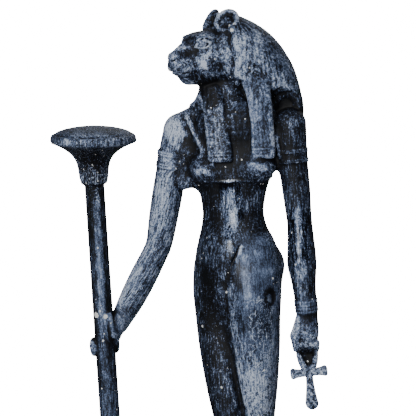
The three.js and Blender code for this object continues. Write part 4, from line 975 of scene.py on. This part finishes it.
vertices = np.empty(3 * len(mesh.vertices), np.float32)
mesh.vertices.foreach_get("co", vertices)
skin = (vertices.reshape(-1, 3).T / MM - place).astype(np.float32)
shares = {form: np.exp(-np.maximum(form(skin), 0) / SPREAD) + LEAST_SHARE for form, _ in PARTS}
all_shares = sum(shares.values())
brushing_and_painted_light = sum(shares[form] * pale for form, pale in PARTS) / all_shares
streaky = sum(shares[form] for form in STREAKED) / all_shares

# The brush ran along each limb. Her right arm's middle (z, x, y) at a few heights leans the streaks on it.
ARM_LINE = np.array([
    (142, -50, -48), (152, -44.4, -40.6), (174, -37, -26.5), (196, -29.3, -23.4), (235, -22, -17)]).T
leans = np.stack([np.interp(skin[2], ARM_LINE[0], ARM_LINE[i]) for i in (1, 2)]) - ARM_LINE[1:, -1:]
along = skin.copy()
along[:2] -= leans * (shares[right_arm] / all_shares)

# Where the brush bore heavily or missed, and where highlights and shade are painted in: how pale it leaves the
# place (below 0 for deep black), the stroke's radius, and its two ends. A later stroke covers an earlier one.
STROKES_AND_PAINTED_LIGHT = (
    (0.33, 6, (17.7, -9.5, 178), (20.5, -8.5, 160)), (0.3, 9, (20, -11, 150), (18.5, -9, 118)),
    (0.4, 9, (16, -9, 112), (16, -7, 84)), (0.8, 5, (17.5, -12, 110), (16, -9, 92)),
    # The first stroke below paints a highlight down her left hip.
    (0.62, 2.2, (14.5, -12.5, 172), (16.7, -14.5, 152)), (-0.35, 7, (-4, -17, 160), (-6, -14, 90)),
    (0.05, 3.4, (1.2, -19, 152), (1, -16, 118)), (0.05, 3.4, (0.4, -15.6, 112), (1.2, -13, 90)),
    (0.55, 2.4, (8.6, -17.2, 156), (8.2, -15, 126)), (0.55, 2.4, (8.2, -15, 126), (10.5, -12, 92)),
    # The second stroke below and the two on the next line paint the highlight down the front of her waist.
    (-0.12, 9, (-3, -13, 205), (-3, -16, 172)), (0.6, 3.6, (4.2, -11.6, 200), (6, -12.2, 184)),
    (0.95, 2, (6.4, -11, 203), (7.4, -10.8, 193)), (0.95, 2, (7.4, -10.8, 193), (8.2, -11.3, 184.5)),
    (0.1, 4.5, (15.5, -5, 203), (16, -4.5, 187)), (0.15, 5, (25, 5, 212), (24, 3, 196)),
    (0.5, 3.6, (-9.8, -28.8, 268.6), (-0.8, -20.7, 266.8)), (0.26, 2, (-8.9, -25, 272.2), (0.2, -19, 272.4)),
    (0.85, 1, (-10.4, -24.8, 274.6), (-2.8, -20.3, 276)), (0, 0.9, (-3, -20, 274.6), (-1.2, -19.8, 274.6)),
    (0.75, 2.6, (-0.9, -20.5, 276.8), (2.5, -17, 276.6)),
    (0.9, 1, (-0.4, -19.6, 276.7), (0.9, -17.9, 276.9)),
    (0, 3.2, (-10.2, -21.6, 277.6), (-5.4, -18.4, 280.2)), (0, 3.5, (-12, -15, 276), (-12, -10, 282)),
    (0.58, 4, (1.5, -17.3, 273.6), (6.5, -11.8, 272.9)),
    (0.05, 2.8, (-4.5, -10.4, 282.4), (5.4, -9.4, 281.2)),
    # This paints shadow under her jaw.
    (0.1, 3.6, (4.3, -17.6, 266.4), (3.9, -14.8, 258.3)),
    (0.1, 2.4, (-9.6, -27.3, 261.9), (-3.1, -18.6, 258.6)), (1.1, 1.6, (0.4, -20, 267.5), (1.9, -19, 262.2)),
    (0.7, 3.2, (8.3, -8.8, 274.4), (7.2, -9, 262)), (0.85, 4, (14.4, -5.2, 277), (15, -6.5, 268.5)),
    (0.8, 3, (14.4, -7.2, 265), (15, -7.5, 259.5)), (0.8, 3, (16.1, 3.2, 280.3), (20.6, -1.1, 268.1)),
    (0.62, 3, (23.2, 2.3, 263.7), (27.6, 8, 255.4)), (0.3, 6, (21.5, 12.2, 275.7), (28.7, 16.8, 258.7)),
    (0.85, 1.8, (1.9, -7.5, 289.5), (5.3, -4.5, 291.7)), (0, 2.4, (5.6, -4.6, 288), (7.6, -7.4, 284.1)),
    # These paint the shade in the hollow over her left shoulder, under the hair, black.
    (0, 6.2, (20.5, 5.5, 247), (32, 18.5, 244.6)), (0, 5, (34, 14, 246), (36, 22, 246)),
    (0.62, 4, (18.8, -6, 252), (19, -6, 222)), (0, 3.4, (5, 14, 284), (-6, 8, 287)),
    # The second stroke below paints shadow under her jaw.
    (0, 4.6, (-7.9, -3.5, 286), (-7.8, 1.4, 291.5)), (0.02, 2.8, (5, -16.4, 266.4), (6.8, -10.6, 258)),
    # The first stroke below paints the shadow under her chin, over the top of the far lock.
    (-0.5, 6.5, (-2.2, -13.6, 253.4), (-1.6, -12.6, 250)), (0.62, 1.2, (8, -9.4, 276), (8.6, -9.4, 261)),
    # The first stroke below paints shadow under her jaw.
    (0, 2.2, (2.6, -18.6, 262), (4.6, -14, 257.5)), (0.35, 3, (9.8, 1.3, 286.3), (15.3, 8.9, 280.8)),
    (0.72, 2.6, (12, -8.9, 262.7), (18.4, -5.8, 257.4)), (0.08, 1.6, (20.3, -5, 254.6), (20.9, -4.7, 249.7)),
    # These paint shade along the top of her left shoulder.
    (-0.5, 4.6, (25.3, 12, 242), (33.1, 12.5, 240)), (-0.2, 3, (27.6, 8, 238.8), (33.2, 9.2, 237.4)),
    (-0.7, 3.8, (24.2, -5.6, 150.9), (24.2, -5.6, 148.1)), (0.85, 2.1, (24, -5.4, 149.9), (24, -5.4, 149)),
    # The first stroke below paints a highlight along the slit's edge; the second paints shade on her left
    # shoulder.
    (1.2, 0.8, (13.2, -12.6, 175.8), (11.2, -14.6, 169.6)), (-0.3, 5.5, (31, 14, 245), (34, 14, 236)),
    # The first stroke below paints shade on her left shoulder.
    (-0.35, 4, (28.5, 6.5, 242), (29.5, 7, 230)), (0.5, 1.3, (-17.1, -13.8, 238.8), (-7.4, -14.6, 223.2)),
    (0.75, 1.4, (24.3, 4.6, 228), (26, 5, 219)), (0.7, 2, (-9.5, -17.3, 240), (-7.5, -17.5, 221)),
    # These paint the shade inside the ankh's loop and under the fist black.
    (0, 2.6, (32.2, 12.6, 119), (32.2, 12.6, 114.5)), (0, 3, (31, 8.5, 121), (33.5, 12.5, 120)),
    (0.12, 1.2, (20.9, -4.6, 256), (21.3, -4.4, 249.5)), (0.5, 3, (3.7, -8.7, 252.6), (6.4, -7.2, 246.2)),
    # This paints shade on her chest between the locks, under the collar.
    (0.04, 6, (10.5, -7.8, 238), (8.2, -10.3, 213)),
    (0.95, 5.4, (-23.5, -17.8, 234.2), (-19.6, -16.8, 228.1)),
    # This paints the shade in her right armpit.
    (0.04, 4.4, (-15.3, -14.3, 225.5), (-13, -14.3, 216)),
    (0.7, 1.8, (-7.8, -19.9, 212.5), (-4.2, -18.9, 213.6)),
    (0.65, 1.6, (-2.2, -17.9, 212.6), (1.2, -17, 209.6)), (0.6, 2, (17.4, -7.7, 215.9), (22.2, -4.2, 214.1)),
    (0.7, 0.8, (2.5, -15.5, 208.2), (20.3, 1.8, 207.8)),
    # These three paint a pale highlight down the middle of her right arm, over the brushing.
    (0.85, 4.4, (-24.9, -21.6, 219.8), (-29.3, -23.4, 196.1)),
    (0.8, 4.2, (-30.2, -23.5, 195.1), (-36.6, -26.5, 174.6)),
    (0.75, 3.4, (-38.3, -28.4, 169.7), (-44.4, -40.6, 150.5)),
    (0.12, 2.8, (-33.4, -31.5, 156.9), (-38.8, -39.5, 142.6)),
    # The second stroke below paints shade on her left shoulder.
    (0.1, 2, (-40.4, -41.5, 145), (-39.4, -39.5, 141.4)), (0.1, 3, (32.6, 8.2, 234.8), (33, 8.6, 225)),
    (-0.2, 3, (26.4, 6.6, 226), (26.6, 6, 204)), (-0.08, 5.4, (34, 8.3, 212), (35, 8.7, 196.7)),
    # These paint a highlight down her left arm.
    (0.62, 1.8, (33.6, 7.6, 192.2), (33.8, 6.8, 171.8)), (0.5, 3.2, (34.6, 6.4, 165.3), (34.8, 7, 144)),
    # The second stroke below paints the shade under her left fist.
    (0.85, 2.6, (29.5, 7.2, 137.2), (27.8, 6.6, 128.8)), (0.04, 2, (31.4, 7.3, 121.4), (35, 11.9, 118.6)),
    # This paints a highlight down the stalk.
    (0.7, 2, (-46.9, -51.3, 205.4), (-47.1, -51.4, 128)),
    (0.05, 2.2, (-46.4, -50.8, 135), (-46.2, -50.6, 124.3)),
    # This paints shade on the umbel's domed top.
    (-0.12, 9, (-54.6, -60, 236.1), (-38.9, -46.9, 236.8)),
    # The second stroke below paints the shade under the umbel.
    (0.85, 1.7, (-48.7, -68.3, 232.6), (-31.5, -54, 231.9)), (-0.25, 7, (-46, -54, 228), (-47, -52, 215)))
for pale, radius, start, end in STROKES_AND_PAINTED_LIGHT:
    gap = limb(start, end, radius, radius).distance(skin)
    share = 1 - fade(gap, -0.5 * radius, 0.35 * radius)
    brushing_and_painted_light += (pale - brushing_and_painted_light) * share

# How far each place stands out from the form about it, as the brush finds it: the mesh's own edges give the
# neighbours, and a few rounds of averaging over them give the form. The paint darkens the places that sink in,
# where a dry brush misses and also as painted shade in creases and hollows.
SOFTENING_ROUNDS, STANDS_OUT = 14, 0.3
ends = np.empty(2 * len(mesh.edges), np.int32)
mesh.edges.foreach_get("vertices", ends)
ends = ends.reshape(-1, 2)
both = np.concatenate([ends, ends[:, ::-1]])
around = np.bincount(both[:, 0], minlength=skin.shape[1])
soft = skin.astype(np.float64)
for _ in range(SOFTENING_ROUNDS):
    soft = np.stack([np.bincount(both[:, 0], soft[i][both[:, 1]], skin.shape[1]) for i in range(3)]) / around
facing = np.empty(3 * len(mesh.vertices), np.float32)
mesh.vertices.foreach_get("normal", facing)
raised = ((skin - soft) * facing.reshape(-1, 3).T).sum(0)


def within(capsules):
    """The strength of the strongest capsule that a place lies in, with soft edges: (strength, radius, ends)."""
    most = np.zeros(skin.shape[1], np.float32)
    for strength, radius, start, end in capsules:
        gap = limb(start, end, radius, radius).distance(skin)
        most = np.maximum(most, strength * (1 - fade(gap, -0.3 * radius, 0.3 * radius)))
    return most


# Where handling scratched it, where the brush was laid on evenly, and where rubbing polished it.
scratched = within((
    (0.7, 7.0, (21, -9, 146), (16.5, -8, 92)), (0.5, 6.0, (-6, -15, 150), (-3, -14, 98)),
    (1.0, 11.0, (-46, -54, 226), (-47, -52, 212))))
calm = within((
    (1.0, 10.0, (19, -10, 174), (20, -9, 130)), (1.0, 6.5, (32.0, 12.7, 146), (32.4, 12.9, 140)),
    (0.75, 9.0, (19, -6, 250), (19, -7, 222)), (0.65, 7.0, (-50, -47, 90), (-50, -47, 205)),
    (0.5, 9.0, (19, -9, 130), (18, -9, 112)), (0.3, 12.0, (24, 4, 276), (28, 8, 262))))
polished = within((
    (1.0, 6.0, (6, -11, 204), (10, -13, 178)), (0.5, 8.0, (15, -13, 174), (18, -13, 130)),
    (0.85, 5.0, (34, 8, 190), (34, 7, 162)), (0.75, 5.0, (-27, -23, 212), (-34, -25, 182)),
    (0.6, 5.0, (26, 6, 134), (28, 6, 128)), (0.5, 4.0, (3, -17, 240), (3, -17, 222))))
for name, values in (
        ("brushing_and_painted_light", brushing_and_painted_light), ("raised", np.clip(raised / STANDS_OUT, -1, 1)), ("streaky", streaky),
        ("calm", calm), ("scratched", scratched), ("polished", polished)):
    mesh.attributes.new(name, "FLOAT", "POINT").data.foreach_set("value", values.astype(np.float32))
mesh.attributes.new("along", "FLOAT_VECTOR", "POINT").data.foreach_set("vector", (along.T * MM).ravel())


def linear(code):
    """A colour written as sRGB hex, as the linear numbers that shaders use."""
    parts = (int(code[i:i + 2], 16) / 255 for i in (1, 3, 5))
    return (*(c / 12.92 if c <= 0.04045 else ((c + 0.055) / 1.055) ** 2.4 for c in parts), 1)


paint = bpy.data.materials.new("dry_brushed_black_paint_and_painted_light")
paint.use_nodes = True
paint.node_tree.nodes.clear()


def add(kind, sockets=None, **settings):
    """Adds a node with its settings; each of its sockets gets a value or a link from another node's output."""
    node = paint.node_tree.nodes.new(kind)
    for name, value in settings.items():
        setattr(node, name, value)
    for name, value in (sockets or {}).items():
        if isinstance(value, bpy.types.NodeSocket):
            paint.node_tree.links.new(value, node.inputs[name])
        else:
            node.inputs[name].default_value = value
    return node


where = add("ShaderNodeAttribute", attribute_name="along").outputs["Vector"]
weight, stands, smooth, quiet, marked, rubbed = (
    add("ShaderNodeAttribute", attribute_name=name).outputs["Fac"]
    for name in ("brushing_and_painted_light", "raised", "streaky", "calm", "scratched", "polished"))


def grain(width, length, lean=(0, 0, 0), detail=3.0, rough=0.6):
    """Noise with grains of a width and length in mm, its long way upright and then leaned."""
    size = (width * MM, width * MM, length * MM)
    turned = add("ShaderNodeMapping", {"Vector": where, "Rotation": lean, "Scale": size}, vector_type="TEXTURE")
    sockets = {"Vector": turned.outputs[0], "Scale": 1.0, "Detail": detail, "Roughness": rough}
    return add("ShaderNodeTexNoise", sockets).outputs["Fac"]


def total(first, *terms):
    """The effects (value, factor) on one place added up, each times its factor, on top of the first number."""
    for value, factor in terms:
        first = add("ShaderNodeMath", {0: value, 1: factor, 2: first}, operation="MULTIPLY_ADD").outputs[0]
    return first


# The brush's marks in mm: broad patches, streaks on the smooth limbs and dabs on the carved parts, then the
# casting's own grain. A bristle's mark, about 0.25 mm, is too fine to show: streaks are three times as wide.
patches, dabs, pits = grain(6, 9), grain(1.4, 1.9, (0.5, 0.3, 0), rough=0.75), grain(0.45, 0.8, detail=2.0)
streaks = grain(0.75, 5.5, rough=0.7)
strokes = add("ShaderNodeMix", {"Factor": smooth, "A": dabs, "B": streaks}, data_type="FLOAT").outputs[0]
texture = total(-3.45, (strokes, 3.8), (pits, 3.1))
# Raised places go paler and sunk ones darker: the dry brush's catch, and painted shade in the creases.
cover = total(-0.5, (weight, 1.0), (stands, 0.45), (patches, 1.0), (texture, total(1.0, (quiet, -0.6))))

# Scratches of bristles and of handling in four directions, thin and a few mm long, where the noise is highest.
SCRATCH_LEANS = (0.05, 0.1, 0), (-0.515, 0.74, 0), (0.378, -0.492, 0), (-0.67, 1.235, 0)
scratch = 0.0
for lean in SCRATCH_LEANS:
    noise = grain(0.42, 5.0, lean, 1.0, 0.4)
    line = add("ShaderNodeMapRange", {"Value": noise, "From Min": 0.66, "From Max": 0.71},
               interpolation_type="SMOOTHSTEP").outputs["Result"]
    scratch = add("ShaderNodeMath", {0: scratch, 1: line}, operation="MAXIMUM").outputs[0]
cover = total(cover, (scratch, total(0.15, (marked, 0.95))))

# White specks where small bubbles broke open, up to 0.9 mm across, in a few of a mesh of 2.5 mm cells.
SPECK_CELL, SPECKED, SPECK_SIZE = 2.5, 0.82, 0.17
cells = add("ShaderNodeTexVoronoi", {"Vector": where, "Scale": 1 / (SPECK_CELL * MM)}, feature="F1")
chosen = add("ShaderNodeSeparateColor", {"Color": cells.outputs["Color"]}).outputs["Red"]
size_of = add("ShaderNodeMapRange", {"Value": chosen, "From Min": SPECKED, "To Max": SPECK_SIZE},
              interpolation_type="SMOOTHSTEP").outputs["Result"]
speck = add("ShaderNodeMath", {0: cells.outputs["Distance"], 1: size_of}, operation="LESS_THAN").outputs[0]
# The larger ones, each in its own place (x, y, z, radius), with an edge made ragged by the grain.
CHIP_RAGGED = 1.8
CHIPS = (
    (-48.9, -52.4, 144.1, 0.5), (-49.2, -52.5, 142.3, 1.5), (-46.3, -50.4, 142.0, 1.1),
    (-44.1, -48.0, 138.4, 0.5), (-47.8, -51.9, 133.3, 0.4), (-49.0, -52.4, 129.2, 0.5),
    (-9.5, -16.7, 168.9, 0.4), (24.4, -3.2, 159.1, 0.5), (5.6, -16.7, 152.9, 0.6),
    (-10.9, -17.4, 134.0, 0.7), (19.5, -8.6, 112.3, 0.4), (0.1, -18.6, 104.0, 0.5), (8.0, -7.7, 284.1, 0.5),
    (9.6, -7.9, 282.1, 0.8), (-5.9, -16.2, 179.3, 0.35), (-7.5, -17.3, 172.2, 0.3), (4.6, -12.1, 215.5, 0.3),
    (14.2, -6.4, 238.4, 0.3), (-41.5, -55.9, 224.8, 0.3), (-36.3, -56.2, 227.5, 0.4),
    (-45.5, -54.3, 218.9, 0.4), (-44.4, -52.1, 215.7, 0.3))
for *spot, radius in CHIPS:
    nearest = skin[:, ((skin - rows_of(spot)[0]) ** 2).sum(0).argmin()]
    gap = add("ShaderNodeVectorMath", {0: where, 1: (nearest * MM).tolist()}, operation="DISTANCE")
    edge = total(gap.outputs["Value"], (pits, CHIP_RAGGED * MM))
    hole = add("ShaderNodeMath", {0: edge, 1: (radius + CHIP_RAGGED / 2) * MM}, operation="LESS_THAN")
    speck = add("ShaderNodeMath", {0: speck, 1: hole.outputs[0]}, operation="MAXIMUM").outputs[0]

# From black through the thin film of blue-grey to its full colour, as more of it stayed on; the painted
# highlights and shade run through the same colours.
COATS = (0.10, "#050508"), (0.30, "#1f2634"), (0.48, "#48546e"), (0.68, "#7b8aa8"), (0.95, "#ccd4e2")
film = add("ShaderNodeValToRGB", {"Fac": total(0.1, (cover, 0.6))})
stops = film.color_ramp.elements
for amount, code in COATS:
    stops.new(amount).color = linear(code)
stops.remove(stops[0])
stops.remove(stops[-1])
mix = add("ShaderNodeMix", {"Factor": speck}, data_type="RGBA")
first, second = (socket for socket in mix.inputs if socket.type == "RGBA")
paint.node_tree.links.new(film.outputs["Color"], first)
second.default_value = linear("#f4f2ec")
colour = next(socket for socket in mix.outputs if socket.type == "RGBA")

# Satin where it was left alone and nearly glossy where hands rubbed it smooth. Thin acrylic over chalky stone
# mirrors little, so its gloss is held low; specks and chips are sunk a little.
rough = total(0.62, (rubbed, -0.5))
grainy = total(0.5, (smooth, -0.25))
coat = add("ShaderNodeMapRange", {"Value": cover, "From Max": 0.6}, interpolation_type="SMOOTHSTEP")
relief = total(0.0, (pits, grainy), (streaks, 0.2), (coat.outputs["Result"], 0.2))
height = total(0.0, (relief, total(1.0, (rubbed, -0.85))), (speck, -0.5))
bump = add("ShaderNodeBump", {"Height": height, "Strength": 0.35, "Distance": 0.3 * MM})
shader = add("ShaderNodeBsdfPrincipled", {
    "Base Color": colour, "Roughness": rough, "Specular IOR Level": 0.25, "IOR": 1.5,
    "Normal": bump.outputs["Normal"]})
add("ShaderNodeOutputMaterial", {"Surface": shader.outputs[0]})
mesh.materials.append(paint)

# Floor.
# A plain matt white tabletop that runs 20 m out each way, so that the whole view behind her is white. It glows
# by itself, for the photograph's burnt-out background.
FLOOR_REACH, FLOOR_GLOW = 20, 18
floor = put("floor", bpy.data.meshes.new("floor"))
corners = [(x * FLOOR_REACH, y * FLOOR_REACH, 0) for x, y in ((-1, -1), (1, -1), (1, 1), (-1, 1))]
floor.data.from_pydata(corners, [], [(0, 1, 2, 3)])
white = bpy.data.materials.new("matt_white_tabletop")
white.use_nodes = True
for name, value in (
        ("Base Color", linear("#f2f2f2")), ("Roughness", 0.9), ("Emission Color", (1, 1, 1, 1)),
        ("Emission Strength", FLOOR_GLOW)):
    white.node_tree.nodes["Principled BSDF"].inputs[name].default_value = value
floor.data.materials.append(white)
floor.visible_diffuse = floor.visible_glossy = False

# Lights.
# Soft boxes: a tall narrow one on the camera's left draws the long highlights, a broad dim one high on its
# right fills in, and another behind her lights her back.
world = bpy.context.scene.world or bpy.data.worlds.new("studio")
bpy.context.scene.world = world
world.use_nodes = True
sky = world.node_tree.nodes["Background"].inputs
sky["Color"].default_value, sky["Strength"].default_value = (0.9, 0.95, 1, 1), 0.1
LIT_HEIGHT = 170
middle = Vector((FIGURE_X, FIGURE_Y, LIT_HEIGHT)) * MM
# Name, degrees to the camera's right, degrees up, distance, width and height in m, and watts.
for name, side, lift, distance, width, tall, power in (
        ("tall_key", -23, 13, 1.5, 0.27, 0.9, 17.5),
        ("broad_fill", 14, 38, 2.0, 1.6, 1.6, 9.0),
        ("back_fill", 165, 30, 2.0, 1.6, 1.6, 11.0)):
    lamp = put(name, bpy.data.lights.new(name, "AREA"))
    lamp.data.shape = "RECTANGLE"
    lamp.data.color = (0.94, 0.97, 1.0)
    lamp.data.energy, lamp.data.size, lamp.data.size_y = power, width, tall
    a, b = math.radians(AZIMUTH + side), math.radians(lift)
    away = Vector((math.sin(a) * math.cos(b), -math.cos(a) * math.cos(b), math.sin(b)))
    lamp.location = middle + distance * away
    lamp.rotation_euler = away.to_track_quat("Z", "Y").to_euler()
